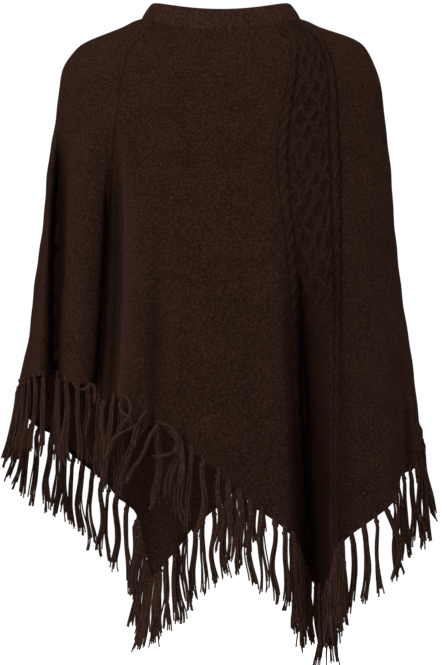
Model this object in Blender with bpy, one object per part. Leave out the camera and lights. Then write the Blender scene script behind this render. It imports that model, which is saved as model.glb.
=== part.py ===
"""Knitted wool poncho: ribbed collar, four panels, a cable band and a knotted fringe along a pointed hem.

The garment keeps the hollow form that it has when it is worn. It is seen from behind along +Y: X runs to the
right, Y from the back to the front and Z up. The origin is the middle of the neck at the collar seam.
Angles go round the body from the middle of the back: 0 is the back, 90 the right side, 180 the front.
A level is a row number of PROFILE, from 0 at the collar seam downwards. All sizes are in metres.
"""
import math
import random

import bmesh
import bpy
from mathutils import Vector

COLLECTION_NAME = "poncho"

WALL = 0.003
SEAM_GAP = 0.0003
HEM_GAP = 0.0005
STRIP_HEIGHT = 0.004
# Above the hem the wall turns until its edge is level across.
HEM_TURN = 0.03

# Rings round the body, from the collar seam down.
# Columns: height at the sides, half width right, half width left,
#          height at the back, depth at the back, height at the front, depth at the front.
PROFILE = (
    (0.0020, 0.1120, 0.1120, -0.021, 0.0750, -0.060, 0.092),
    (-0.0022, 0.1245, 0.1250, -0.027, 0.0800, -0.066, 0.097),
    (-0.0100, 0.1410, 0.1400, -0.034, 0.0855, -0.073, 0.102),
    (-0.0212, 0.1730, 0.1670, -0.043, 0.0920, -0.081, 0.107),
    (-0.0308, 0.1935, 0.1900, -0.052, 0.0980, -0.089, 0.111),
    (-0.0410, 0.2048, 0.2052, -0.062, 0.1030, -0.098, 0.115),
    (-0.0612, 0.2162, 0.2197, -0.078, 0.1090, -0.112, 0.120),
    (-0.0845, 0.2247, 0.2277, -0.098, 0.1150, -0.130, 0.126),
    (-0.1200, 0.2310, 0.2330, -0.128, 0.1210, -0.155, 0.132),
    (-0.1600, 0.2350, 0.2380, -0.165, 0.1270, -0.187, 0.138),
    (-0.2200, 0.2425, 0.2455, -0.223, 0.1350, -0.238, 0.145),
    (-0.2800, 0.2475, 0.2505, -0.282, 0.1445, -0.292, 0.151),
    (-0.3400, 0.2530, 0.2560, -0.341, 0.1520, -0.348, 0.157),
    (-0.4000, 0.2615, 0.2640, -0.400, 0.1590, -0.404, 0.163),
    (-0.4600, 0.2705, 0.2712, -0.460, 0.1660, -0.462, 0.169),
    (-0.5200, 0.2775, 0.2830, -0.520, 0.1730, -0.522, 0.175),
    (-0.6000, 0.2865, 0.2920, -0.600, 0.1820, -0.601, 0.183),
    (-0.7000, 0.2980, 0.3000, -0.700, 0.1910, -0.701, 0.191),
    (-0.8500, 0.3100, 0.3120, -0.850, 0.2030, -0.850, 0.203),
)
LAST_LEVEL = len(PROFILE) - 1
LEVEL_STEPS = 90

# Height of the lower edge of the cloth round the body. Columns: angle, height.
HEM = (
    (-104.0, -0.562),
    (-90.0, -0.513),
    (-59.5, -0.501),
    (-50.3, -0.510),
    (-40.5, -0.514),
    (-33.0, -0.535),
    (-28.5, -0.534),
    (-22.5, -0.563),
    (-11.0, -0.581),
    (-8.8, -0.600),
    (-2.8, -0.621),
    (4.7, -0.657),
    (9.6, -0.682),
    (14.8, -0.699),
    (20.2, -0.723),
    (22.8, -0.753),
    (26.3, -0.790),
    (27.6, -0.7953),
    (30.6, -0.735),
    (36.2, -0.7175),
    (44.5, -0.697),
    (53.0, -0.675),
    (61.0, -0.641),
    (78.0, -0.622),
    (90.0, -0.606),
    (110.0, -0.530),
    (130.0, -0.515),
    (148.0, -0.535),
    (165.0, -0.620),
    (180.0, -0.701),
    (189.5, -0.742),
    (197.0, -0.793),
    (200.0, -0.810),
    (204.0, -0.716),
    (212.0, -0.678),
    (224.6, -0.632),
    (235.0, -0.603),
    (256.0, -0.562),
)

# Seams between the panels and the left edge of the cable band. Columns: level, angle.
BACK_LEFT_SEAM = (
    (0.0, -58.0),
    (0.7, -52.0),
    (3.0, -42.5),
    (5.5, -37.8),
    (9.0, -37.6),
    (13.0, -36.5),
    (16.0, -34.0),
    (18.0, -33.0),
)
BAND_LEFT_EDGE = (
    (0.0, 40.0),
    (3.0, 32.0),
    (6.0, 27.0),
    (8.0, 22.6),
    (9.7, 18.8),
    (10.6, 19.0),
    (12.3, 21.2),
    (15.0, 21.7),
    (18.0, 23.4),
)
BACK_RIGHT_SEAM = (
    (0.0, 66.0),
    (1.5, 59.5),
    (4.0, 48.6),
    (7.0, 45.2),
    (10.5, 42.6),
    (12.3, 40.2),
    (15.0, 34.8),
    (17.0, 31.6),
    (18.0, 31.0),
)
FRONT_RIGHT_SEAM = (
    (0.0, 114.0),
    (1.5, 120.5),
    (4.0, 132.0),
    (7.0, 135.0),
    (12.0, 138.0),
    (18.0, 140.0),
)
FRONT_LEFT_SEAM = (
    (0.0, -122.0),
    (0.7, -128.0),
    (3.0, -137.5),
    (5.5, -142.2),
    (9.0, -142.4),
    (13.0, -143.5),
    (18.0, -146.0),
)

# Folds that run down the cloth.
# Columns: angle where it starts, angle at level 16, level where it starts, level of its full size,
#          push outwards, half width.
FOLDS = (
    (-72.0, -59.0, 7.0, 12.0, -0.022, 0.014),
    (-43.5, -39.0, 8.5, 12.5, -0.030, 0.012),
    (-36.0, -31.0, 7.5, 12.0, 0.012, 0.018),
    (-20.0, -19.5, 12.0, 15.0, -0.006, 0.013),
    (23.5, 24.2, 11.0, 15.0, -0.030, 0.017),
    (35.0, 30.8, 10.5, 14.5, 0.012, 0.014),
    (73.0, 63.0, 12.5, 15.5, -0.007, 0.014),
    (119.0, 117.0, 9.0, 14.0, -0.018, 0.018),
    (131.0, 129.0, 9.0, 14.0, 0.010, 0.018),
    (143.0, 141.0, 10.0, 14.0, -0.015, 0.017),
    (190.0, 192.5, 11.5, 15.0, -0.018, 0.017),
    (211.0, 211.0, 11.0, 14.5, 0.012, 0.016),
    (242.0, 239.0, 8.5, 13.0, -0.018, 0.017),
)

# Rows of points down a panel. The cable band has all of them, the plain cloth has ROW_STOPS.
BAND_ROWS = 76
ROW_STOPS = (0, 1, 2, 3, 4, 6, 8, 11, 15, 20, 25, 30, 36, 42, 48, 54, 60, 66, 72, 76)

# Places across the cable band in millimetres, with what lies there.
BAND_WIDTH = 88.0
BAND_PLACES = (
    (0.0, "plain"),
    (6.5, "rope_left"),
    (10.0, "rope_middle"),
    (13.5, "rope_right"),
    (17.0, "plain"),
    (22.0, "trellis"),
    (27.1, "trellis"),
    (32.2, "trellis"),
    (37.3, "trellis"),
    (42.4, "trellis"),
    (47.6, "trellis"),
    (52.7, "trellis"),
    (57.8, "trellis"),
    (62.9, "trellis"),
    (68.0, "trellis"),
    (73.0, "plain"),
    (76.5, "rope_left"),
    (80.0, "rope_middle"),
    (83.5, "rope_right"),
    (88.0, "plain"),
)
RIDGE_HEIGHT = 0.0032
ROPE_HIGH = 0.0032
ROPE_LOW = 0.0010
TRELLIS_REPEAT = 4

# Columns of points across each plain panel. Columns: start, end, number of steps.
LEFT_SIDE_STEPS = ((0.0, 0.62, 9), (0.62, 0.82, 6), (0.82, 1.0, 8))
BACK_STEPS = ((0.0, 0.24, 4), (0.24, 0.84, 7), (0.84, 1.0, 4))
RIGHT_SIDE_STEPS = ((0.0, 0.2, 5), (0.2, 0.58, 5), (0.58, 0.78, 5), (0.78, 1.0, 3))
FRONT_STEPS = ((0.0, 0.60, 10), (0.60, 0.75, 3), (0.75, 0.90, 7), (0.90, 1.0, 2))

# Collar band. The top ring leans inwards from the seam ring.
RIB_COUNT = 76
RIB_HEIGHT = 0.0015
COLLAR_WALL = 0.0034
COLLAR_TOP_HALF_WIDTH = 0.0965
COLLAR_TOP_BACK_DEPTH = 0.064
COLLAR_TOP_FRONT_DEPTH = 0.083
COLLAR_TOP_SIDE_HEIGHT = 0.0238
COLLAR_TOP_BACK_HEIGHT = 0.0085
COLLAR_TOP_FRONT_HEIGHT = -0.034
# Columns: share of the height, share of the rib height.
COLLAR_RINGS = ((0.0, 1.0), (0.5, 1.0), (0.9, 1.0), (1.0, 0.1))

# Fringe.
LOCK_SPACING = 0.0150
LOCK_ROOT_WIDTH = 0.0050
LOCK_LENGTH = 0.118
LOCK_LENGTH_SPREAD = 0.006
LOCK_SWAY = 0.003
LOCK_LEAN = 0.007
LOCK_SHIFT = 0.008
LOCK_SEED = 11
# Columns: share of the length, half width, half thickness.
LOCK_RINGS = ((0.10, 0.0026, 0.0024), (0.50, 0.0034, 0.0028), (1.00, 0.0040, 0.0026))
# How far the tips stand out from the body. Columns: angle, distance.
FLARE = (
    (-104.0, 0.020),
    (-90.0, 0.025),
    (-72.0, 0.012),
    (-45.0, 0.003),
    (60.0, 0.003),
    (80.0, 0.010),
    (90.0, 0.018),
    (105.0, 0.010),
    (130.0, 0.003),
    (225.0, 0.003),
    (256.0, 0.020),
)
# Locks that were pulled aside, in place of the nearest plain one. Each has the angle of its root and, in
# millimetres from there, its way: along the hem to the right, outwards, down.
PULLED_LOCKS = (
    (-24.0, ((-9, 9, 15), (-22, 11, 28), (-34, 11, 50), (-39, 10, 80), (-41, 8, 112))),
    (-20.0, ((-8, 17, 14), (-19, 19, 34), (-29, 19, 56), (-36, 18, 82), (-40, 17, 108))),
    (-16.0, ((8, 9, 6), (15, 11, 14), (17, 11, 27), (10, 11, 42), (1, 9, 66), (-2, 8, 98))),
    (47.0, ((9, 6, 24), (17, 7, 46), (20, 7, 62), (12, 7, 86), (6, 7, 105))),
)


def table_slope(table, row, column):
    """Slope of a column of a table at one of its rows."""
    slopes = []
    for first in (row - 1, row):
        if 0 <= first and first + 1 < len(table):
            run = table[first + 1][0] - table[first][0]
            slopes.append((table[first + 1][column] - table[first][column]) / run)
    return sum(slopes) / len(slopes)


def smooth_value(table, key, column=1):
    """Value of a column at a key, on a smooth line through the rows of the table."""
    key = min(max(key, table[0][0]), table[-1][0])
    row = 0
    while row < len(table) - 2 and table[row + 1][0] < key:
        row += 1
    run = table[row + 1][0] - table[row][0]
    part = (key - table[row][0]) / run
    start = table[row][column]
    end = table[row + 1][column]
    start_slope = table_slope(table, row, column) * run
    end_slope = table_slope(table, row + 1, column) * run
    square = part * part
    cube = square * part
    return (
        start * (2 * cube - 3 * square + 1)
        + start_slope * (cube - 2 * square + part)
        + end * (3 * square - 2 * cube)
        + end_slope * (cube - square)
    )


def straight_value(table, key):
    """Value of the second column at a key, on straight lines between the rows of the table."""
    key = min(max(key, table[0][0]), table[-1][0])
    for (first_key, first_value), (next_key, next_value) in zip(table, table[1:]):
        if key <= next_key:
            part = (key - first_key) / (next_key - first_key)
            return first_value + (next_value - first_value) * part
    return table[-1][1]


LEVELLED_PROFILE = tuple((float(level),) + row for level, row in enumerate(PROFILE))


def ring_at(level):
    """The seven sizes of the ring at a level."""
    return [smooth_value(LEVELLED_PROFILE, level, column) for column in range(1, 8)]


def wrapped(angle):
    """The same angle within the range that the hem and flare tables cover."""
    while angle > 256.0:
        angle -= 360.0
    while angle < -104.0:
        angle += 360.0
    return angle


def plain_point(angle, level):
    """Point of the outer side of the cloth, without folds."""
    side_height, right, left, back_height, back, front_height, front = ring_at(level)
    turn = math.radians(angle)
    across = math.sin(turn)
    along = -math.cos(turn)
    end_height = back_height if along < 0 else front_height
    return Vector((
        across * (right if across > 0 else left),
        along * (back if along < 0 else front),
        side_height * across * across + end_height * along * along,
    ))


def outward_direction(angle, level):
    """Horizontal direction away from the body."""
    _, right, left, _, back, _, front = ring_at(level)
    turn = math.radians(angle)
    across = math.sin(turn)
    along = -math.cos(turn)
    width = right if across > 0 else left
    depth = back if along < 0 else front
    return Vector((across / width, along / depth, 0.0)).normalized()


def sideways_direction(angle, level):
    """Horizontal direction round the body, towards larger angles."""
    outward = outward_direction(angle, level)
    return Vector((-outward.y, outward.x, 0.0))


def length_per_degree(angle, level):
    """Length round the body for one degree."""
    _, right, left, _, back, _, front = ring_at(level)
    turn = math.radians(angle)
    width = right if math.sin(turn) > 0 else left
    depth = back if math.cos(turn) > 0 else front
    return math.radians(math.hypot(width * math.cos(turn), depth * math.sin(turn)))


def fold_push(angle, level):
    """How far the folds push the cloth outwards."""
    push = 0.0
    for start_angle, end_angle, start_level, full_level, size, half_width in FOLDS:
        if level <= start_level:
            continue
        growth = min((level - start_level) / (full_level - start_level), 1.0)
        growth = growth * growth * (3.0 - 2.0 * growth)
        share = (level - start_level) / (16.0 - start_level)
        middle = start_angle + (end_angle - start_angle) * share
        turn = (angle - middle + 180.0) % 360.0 - 180.0
        if abs(turn) < 40.0:
            distance = turn * length_per_degree(middle, level)
            push += size * growth * math.exp(-((distance / half_width) ** 2))
    return push


def cloth_point(angle, level):
    """Point of the outer side of the cloth, with its folds."""
    return plain_point(angle, level) + outward_direction(angle, level) * fold_push(angle, level)


def cloth_normal(angle, level):
    """Outward normal of the cloth."""
    low = min(max(level, 0.05), LAST_LEVEL - 0.05)
    round_step = cloth_point(angle + 0.4, low) - cloth_point(angle - 0.4, low)
    down_step = cloth_point(angle, low + 0.05) - cloth_point(angle, low - 0.05)
    return down_step.cross(round_step).normalized()


class Column:
    """One line of the cloth from the collar seam down to the hem."""

    def __init__(self, angle_at, kind="plain", fine=False):
        self.angle_at = angle_at
        self.kind = kind
        self.fine = fine
        self.lengths = [0.0]
        self.levels = [0.0]
        last_point = plain_point(angle_at(0.0), 0.0)
        last_drop = 1.0
        for step in range(1, LEVEL_STEPS + 1):
            level = step * LAST_LEVEL / LEVEL_STEPS
            angle = angle_at(level)
            point = plain_point(angle, level)
            drop = point.z - straight_value(HEM, wrapped(angle))
            part = min(1.0, last_drop / (last_drop - drop)) if drop < 0.0 else 1.0
            self.lengths.append(self.lengths[-1] + (point - last_point).length * part)
            self.levels.append(self.levels[-1] + (level - self.levels[-1]) * part)
            if drop < 0.0:
                break
            last_point = point
            last_drop = drop
        self.length = self.lengths[-1]
        hem_angle = wrapped(angle_at(self.levels[-1]))
        rise = straight_value(HEM, hem_angle + 0.8) - straight_value(HEM, hem_angle - 0.8)
        slope = rise / (1.6 * length_per_degree(hem_angle, self.levels[-1]))
        self.hem_gap = HEM_GAP * min(math.hypot(1.0, slope), 6.0)

    def level_at(self, length):
        """Level that lies a length of cloth below the collar seam."""
        step = 1
        while step < len(self.lengths) - 1 and self.lengths[step] < length:
            step += 1
        part = (length - self.lengths[step - 1]) / (self.lengths[step] - self.lengths[step - 1])
        return self.levels[step - 1] + (self.levels[step] - self.levels[step - 1]) * part

    def point(self, length, raised=0.0):
        """Point of the cloth at a length, raised above its outer side."""
        level = self.level_at(length)
        angle = self.angle_at(level)
        normal = cloth_normal(angle, level)
        above_hem = self.length - STRIP_HEIGHT - self.hem_gap - length
        normal.z *= min(max(above_hem / HEM_TURN, 0.0), 1.0)
        return cloth_point(angle, level) + normal.normalized() * raised

    def row_point(self, row, raised=0.0):
        """Point of the panel at one of the rows of the cable band."""
        panel_length = self.length - STRIP_HEIGHT - self.hem_gap
        return self.point(panel_length * row / BAND_ROWS, raised)


def between(first_edge, second_edge, share, gap=0.0):
    """Line at a share of the way from one edge to another, moved sideways by a gap."""

    def angle_at(level):
        first = first_edge(level)
        second = second_edge(level)
        angle = first + (second - first) * share
        if gap:
            angle += gap / length_per_degree(angle, level)
        return angle

    return angle_at


def seam(table, whole_turn=0.0):
    """Angle of a seam at each level."""
    return lambda level: smooth_value(table, level) + whole_turn


def shares(steps):
    """Shares of the width of a panel at which it has points."""
    result = [0.0]
    for start, end, count in steps:
        result += [start + (end - start) * number / count for number in range(1, count + 1)]
    return result


def plain_columns(first_edge, second_edge, steps):
    """Columns of a plain panel between two seams, parted from its neighbours."""
    columns = []
    for share in shares(steps):
        gap = SEAM_GAP / 2 if share == 0.0 else (-SEAM_GAP / 2 if share == 1.0 else 0.0)
        columns.append(Column(between(first_edge, second_edge, share, gap)))
    return columns


def back_columns():
    """Columns of the back panel: plain cloth first, then the cable band."""
    left_seam = seam(BACK_LEFT_SEAM)
    band_edge = seam(BAND_LEFT_EDGE)
    right_seam = seam(BACK_RIGHT_SEAM)
    columns = plain_columns(left_seam, band_edge, BACK_STEPS)[:-1]
    for place, kind in BAND_PLACES:
        at_seam = place == BAND_WIDTH
        at_edge = place == 0.0
        gap = -SEAM_GAP / 2 if at_seam else 0.0
        line = between(band_edge, right_seam, place / BAND_WIDTH, gap)
        columns.append(Column(line, kind, fine=not (at_seam or at_edge)))
    return columns


def trellis_number(columns, index):
    """Number of a trellis column within the trellis, or None."""
    if columns[index].kind != "trellis":
        return None
    number = 0
    while columns[index - number - 1].kind == "trellis":
        number += 1
    return number


def raised_height(kind, number, row):
    """Height of the cable pattern above the plain cloth at a point of the band."""
    if row == 0 or row == BAND_ROWS:
        return 0.0
    if kind == "trellis":
        on_ridge = (number + row) % TRELLIS_REPEAT == 0 or (number - row) % TRELLIS_REPEAT == 0
        return RIDGE_HEIGHT if on_ridge else 0.0
    if kind == "rope_middle":
        return ROPE_HIGH
    if kind == "rope_left":
        return ROPE_HIGH if row % 2 else ROPE_LOW
    if kind == "rope_right":
        return ROPE_LOW if row % 2 else ROPE_HIGH
    return 0.0


def zip_chains(faces, first, second):
    """Joins two chains of (place, vertex) with faces: quads where their places agree."""
    first_index = 0
    second_index = 0
    while first_index < len(first) - 1 or second_index < len(second) - 1:
        first_next = first[first_index + 1][0] if first_index < len(first) - 1 else math.inf
        second_next = second[second_index + 1][0] if second_index < len(second) - 1 else math.inf
        corners = [first[first_index][1], second[second_index][1]]
        if abs(first_next - second_next) < 1e-9:
            corners += [second[second_index + 1][1], first[first_index + 1][1]]
            first_index += 1
            second_index += 1
        elif first_next < second_next:
            corners.append(first[first_index + 1][1])
            first_index += 1
        else:
            corners.append(second[second_index + 1][1])
            second_index += 1
        faces.append(corners)


def panel_mesh(columns):
    """Points and faces of a panel: outer side with its cables, plain inner side and the rims."""
    points = []
    faces = []
    outer = []
    inner = []
    for index, column in enumerate(columns):
        number = trellis_number(columns, index)
        chain = []
        for row in range(BAND_ROWS + 1) if column.fine else ROW_STOPS:
            chain.append((row, len(points)))
            points.append(column.row_point(row, raised_height(column.kind, number, row) if column.fine else 0.0))
        outer.append(chain)
        chain = []
        for row in ROW_STOPS:
            chain.append((row, len(points)))
            points.append(column.row_point(row, -WALL))
        inner.append(chain)
    for index in range(len(columns) - 1):
        if not (columns[index].fine and columns[index + 1].fine):
            zip_chains(faces, outer[index], outer[index + 1])
            continue
        number = trellis_number(columns, index)
        for row in range(BAND_ROWS):
            top_left = outer[index][row][1]
            top_right = outer[index + 1][row][1]
            low_left = outer[index][row + 1][1]
            low_right = outer[index + 1][row + 1][1]
            falls = number is not None and (number - row) % TRELLIS_REPEAT == 0
            rope = columns[index].kind.startswith("rope") or columns[index + 1].kind.startswith("rope")
            if falls or (rope and row % 2 == 0):
                faces.append([top_left, top_right, low_right])
                faces.append([top_left, low_right, low_left])
            else:
                faces.append([top_left, top_right, low_left])
                faces.append([top_right, low_right, low_left])
    for chain, next_chain in zip(inner, inner[1:]):
        zip_chains(faces, chain, next_chain)
    for end in (0, -1):
        outer_rim = [(index, chain[end][1]) for index, chain in enumerate(outer)]
        inner_rim = [(index, chain[end][1]) for index, chain in enumerate(inner)]
        zip_chains(faces, outer_rim, inner_rim)
        zip_chains(faces, outer[end], inner[end])
    return points, faces


def collar_mesh(neck_heights):
    """Points and faces of the ribbed collar, which stands on the seam heights of the panels."""
    side_height, right, left, _, back, _, front = PROFILE[0]
    points = []
    faces = []
    bottom = []
    top = []
    normals = []
    count = RIB_COUNT * 3
    for number in range(count):
        rib, place = divmod(number, 3)
        angle = 360.0 * (rib + (0.0, 0.32, 0.68)[place]) / RIB_COUNT
        turn = math.radians(angle)
        across = math.sin(turn)
        along = -math.cos(turn)
        bottom.append(Vector((
            across * (right if across > 0 else left),
            along * (back if along < 0 else front),
            straight_value(neck_heights, angle) + SEAM_GAP,
        )))
        end_height = COLLAR_TOP_BACK_HEIGHT if along < 0 else COLLAR_TOP_FRONT_HEIGHT
        top.append(Vector((
            across * COLLAR_TOP_HALF_WIDTH,
            along * (COLLAR_TOP_BACK_DEPTH if along < 0 else COLLAR_TOP_FRONT_DEPTH),
            COLLAR_TOP_SIDE_HEIGHT * across * across + end_height * along * along,
        )))
        normals.append(outward_direction(angle, 0.0))
    outer_rings = []
    for height, rib_share in COLLAR_RINGS:
        ring = []
        for number in range(count):
            bulge = 0.0016 * math.sin(math.pi * height)
            raised = (RIB_HEIGHT * rib_share if number % 3 else 0.0) + bulge
            ring.append((number, len(points)))
            points.append(bottom[number].lerp(top[number], height) + normals[number] * raised)
        outer_rings.append(ring)
    inner_rings = []
    for height in (0.0, 1.0):
        ring = []
        for number in range(0, count, 3):
            ring.append((number, len(points)))
            points.append(bottom[number].lerp(top[number], height) - normals[number] * COLLAR_WALL)
        inner_rings.append(ring)
    pairs = list(zip(outer_rings, outer_rings[1:])) + list(zip(inner_rings, inner_rings[1:]))
    pairs += [(outer_rings[0], inner_rings[0]), (outer_rings[-1], inner_rings[-1])]
    for first, second in pairs:
        zip_chains(faces, first + [(count, first[0][1])], second + [(count, second[0][1])])
    return points, faces


def strip_corners(column):
    """Four corners of the edge strip at a column: outer top, outer bottom, inner bottom, inner top."""
    top = column.length - STRIP_HEIGHT
    bottom = column.length
    return [
        column.point(top),
        column.point(bottom),
        column.point(bottom, -WALL),
        column.point(top, -WALL),
    ]


def lock_way(angle, length, sway, rise, steepness):
    """Way of a plain lock from its root: where its rings lie along the hem, outwards and down."""
    flare = smooth_value(FLARE, wrapped(angle))
    lean = LOCK_LEAN * min(max((steepness - 0.3) / 0.4, 0.0), 1.0)
    shift = math.copysign(LOCK_SHIFT, rise) * min(max((abs(rise) - 0.75) / 0.15, 0.0), 1.0)
    return [
        Vector((shift + sway * share * share, lean + flare * share ** 2.2, length * share))
        for share, _, _ in LOCK_RINGS
    ]


def add_lock(points, faces, root, angle, level, way, sizes):
    """Adds a lock of yarn that hangs from the four root points of the strip."""
    outward = outward_direction(angle, level)
    sideways = sideways_direction(angle, level)
    middle = sum((points[index] for index in root), Vector()) / 4
    centres = [middle + sideways * step.x + outward * step.y - Vector((0.0, 0.0, step.z)) for step in way]
    ring = root
    for number, (half_width, half_depth) in enumerate(sizes):
        before = centres[number - 1] if number else middle
        after = centres[min(number + 1, len(centres) - 1)]
        direction = (after - before).normalized()
        out = (outward - direction * outward.dot(direction)).normalized()
        side = out.cross(direction)
        next_ring = []
        for side_share, out_share in ((-1, 1), (1, 1), (1, -1), (-1, -1)):
            next_ring.append(len(points))
            points.append(centres[number] + side * half_width * side_share + out * half_depth * out_share)
        for corner in range(4):
            after_corner = (corner + 1) % 4
            faces.append([ring[corner], ring[after_corner], next_ring[after_corner], next_ring[corner]])
        ring = next_ring
    faces.append(list(ring))


def hem_steepness(edges, index):
    """How steep the hem is near an interval: 0 is level and 1 is upright."""
    first = edges[max(index - 2, 0)][2][1]
    last = edges[min(index + 3, len(edges) - 1)][2][1]
    return abs(last.z - first.z) / (last - first).length


def fringe_stations(columns, dice):
    """Places along the edge strip. Those where a lock starts carry the rise of the hem and its steepness."""
    edges = [
        (column.angle_at(column.levels[-1]), column.levels[-1], strip_corners(column)) for column in columns
    ]
    stations = []
    run = LOCK_SPACING * 0.35
    for index in range(len(edges) - 1):
        angle, level, corners = edges[index]
        next_angle, _, next_corners = edges[index + 1]
        step = next_corners[1] - corners[1]
        width = step.length
        plan = math.hypot(step.x, step.y)
        slope = (step.z / width, hem_steepness(edges, index))
        stations.append((angle, level, corners, None))
        if width < 1.35 * LOCK_ROOT_WIDTH:
            if run <= 0.0 and width > 0.6 * LOCK_ROOT_WIDTH:
                stations[-1] = (angle, level, corners, slope)
                run = LOCK_SPACING * dice.uniform(0.92, 1.08)
            run -= plan
            continue
        place = 0.0
        root = LOCK_ROOT_WIDTH / width
        while place + max(run, 0.0) / plan + root < 0.97:
            start = place + max(run, 0.0) / plan
            if start < 0.03:
                stations.pop()
                start = 0.0
            for share, mark in ((start, slope), (start + root, None)):
                between_corners = [a.lerp(b, share) for a, b in zip(corners, next_corners)]
                stations.append((angle + (next_angle - angle) * share, level, between_corners, mark))
            place = start + root
            run = LOCK_SPACING * dice.uniform(0.92, 1.08) - root * plan
        run -= (1.0 - place) * plan
    stations.append(edges[-1] + (None,))
    return stations


def fringe_mesh(columns, dice):
    """Points and faces of one edge strip with its locks."""
    stations = fringe_stations(columns, dice)
    points = []
    faces = []
    rings = []
    for _, _, corners, _ in stations:
        rings.append(list(range(len(points), len(points) + 4)))
        points += corners
    faces += [rings[0], rings[-1]]
    lock_angles = [angle for angle, _, _, slope in stations if slope]
    pulled = {}
    for angle, way in PULLED_LOCKS:
        nearest = min(lock_angles, key=lambda lock_angle: abs(lock_angle - angle))
        if abs(nearest - angle) < 4.0:
            pulled[nearest] = way
    for (angle, level, _, slope), ring, next_ring in zip(stations, rings, rings[1:]):
        for corner in (0, 2, 3):
            after = (corner + 1) % 4
            faces.append([ring[corner], ring[after], next_ring[after], next_ring[corner]])
        root = [ring[1], next_ring[1], next_ring[2], ring[2]]
        if not slope:
            faces.append(root)
            continue
        length = LOCK_LENGTH + dice.uniform(-1.0, 1.0) * LOCK_LENGTH_SPREAD
        sway = LOCK_SWAY * math.sin(angle * 0.35) + dice.uniform(-0.001, 0.001)
        if angle in pulled:
            way = [Vector(step) / 1000.0 for step in pulled[angle]]
            sizes = [(0.0028, 0.0024)] * len(way)
        else:
            way = lock_way(angle, length, sway, *slope)
            sizes = [(half_width, half_depth) for _, half_width, half_depth in LOCK_RINGS]
        add_lock(points, faces, root, angle, level, way, sizes)
    return points, faces


def wool(name, colour, roughness):
    """Plain wool material."""
    material = bpy.data.materials.new(name)
    material.use_nodes = True
    shader = material.node_tree.nodes["Principled BSDF"]
    shader.inputs["Base Color"].default_value = (*colour, 1.0)
    shader.inputs["Roughness"].default_value = roughness
    shader.inputs["Metallic"].default_value = 0.0
    return material


def add_part(collection, name, points, faces, colour, roughness=0.92):
    """Adds one closed, smoothly shaded object to the collection."""
    mesh = bpy.data.meshes.new(name)
    mesh.from_pydata([tuple(point) for point in points], [], faces)
    shape = bmesh.new()
    shape.from_mesh(mesh)
    bmesh.ops.recalc_face_normals(shape, faces=shape.faces)
    for face in shape.faces:
        face.smooth = True
    shape.to_mesh(mesh)
    shape.free()
    mesh.materials.append(wool(name + "_wool", colour, roughness))
    part = bpy.data.objects.new(name, mesh)
    collection.objects.link(part)
    return part


def build():
    """Builds the whole garment."""
    for thing in list(bpy.data.objects):
        bpy.data.objects.remove(thing, do_unlink=True)
    collection = bpy.data.collections.new(COLLECTION_NAME)
    bpy.context.scene.collection.children.link(collection)

    back = back_columns()
    right = plain_columns(seam(BACK_RIGHT_SEAM), seam(FRONT_RIGHT_SEAM), RIGHT_SIDE_STEPS)
    front = plain_columns(seam(FRONT_RIGHT_SEAM), seam(FRONT_LEFT_SEAM, 360.0), FRONT_STEPS)
    left = plain_columns(seam(FRONT_LEFT_SEAM), seam(BACK_LEFT_SEAM), LEFT_SIDE_STEPS)

    panels = (
        ("back_panel", "fringe_back", back, (0.040, 0.018, 0.012)),
        ("right_side", "fringe_right", right, (0.038, 0.017, 0.011)),
        ("front_panel", "fringe_front", front, (0.038, 0.017, 0.011)),
        ("left_side", "fringe_left", left, (0.039, 0.018, 0.012)),
    )
    dice = random.Random(LOCK_SEED)
    neck_heights = []
    for panel_name, fringe_name, columns, colour in panels:
        add_part(collection, panel_name, *panel_mesh(columns), colour)
        add_part(collection, fringe_name, *fringe_mesh(columns, dice), (0.036, 0.016, 0.011), 0.85)
        for column in columns:
            neck_heights.append((column.angle_at(0.0) % 360.0, column.point(0.0).z))
    neck_heights.sort()
    first, last = neck_heights[0], neck_heights[-1]
    neck_heights = [(last[0] - 360.0, last[1])] + neck_heights + [(first[0] + 360.0, first[1])]
    add_part(collection, "collar", *collar_mesh(neck_heights), (0.042, 0.019, 0.013))


build()
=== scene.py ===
"""Dressed model of a knitted wool poncho, hung in the form that it has when it is worn.

X runs to the right, Y from the back to the front and Z up, in metres. Angles go round the body from the middle of
the back, and a level is a row of PROFILE, from 0 at the collar seam downwards.
"""
import logging
import math
import random
from dataclasses import dataclass
from enum import Enum
from typing import Callable, Optional, Sequence

import bpy
import numpy as np
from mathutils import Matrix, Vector

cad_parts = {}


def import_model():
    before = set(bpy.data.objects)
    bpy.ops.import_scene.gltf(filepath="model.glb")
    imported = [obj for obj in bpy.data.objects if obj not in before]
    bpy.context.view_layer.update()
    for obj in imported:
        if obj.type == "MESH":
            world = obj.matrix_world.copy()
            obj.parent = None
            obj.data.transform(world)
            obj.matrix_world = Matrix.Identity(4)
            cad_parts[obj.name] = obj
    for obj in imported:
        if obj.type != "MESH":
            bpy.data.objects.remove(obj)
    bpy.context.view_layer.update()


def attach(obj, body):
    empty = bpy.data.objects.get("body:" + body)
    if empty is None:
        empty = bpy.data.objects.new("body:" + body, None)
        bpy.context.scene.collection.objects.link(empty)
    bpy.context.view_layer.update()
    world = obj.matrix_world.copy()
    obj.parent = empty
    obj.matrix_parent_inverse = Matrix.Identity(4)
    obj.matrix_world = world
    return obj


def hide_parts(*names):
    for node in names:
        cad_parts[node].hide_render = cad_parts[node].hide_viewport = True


log = logging.getLogger("poncho")

Array = np.ndarray
Rows = Sequence[tuple[float, ...]]
Colour = tuple[float, float, float]
Line = Callable[[Array], Array]

# Thickness of the solid cloth, height of the fringe's edge strip and the gap above it.
WALL = 0.003
STRIP_HEIGHT = 0.004
HEM_GAP = 0.0005
# Length above the hem over which the cloth's direction outwards turns level.
HEM_TURN = 0.03
LEVEL_STEPS = 90
RING_STEPS = 3600
# Least angle in the hem and flare tables.
TABLE_START = -104.0
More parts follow.
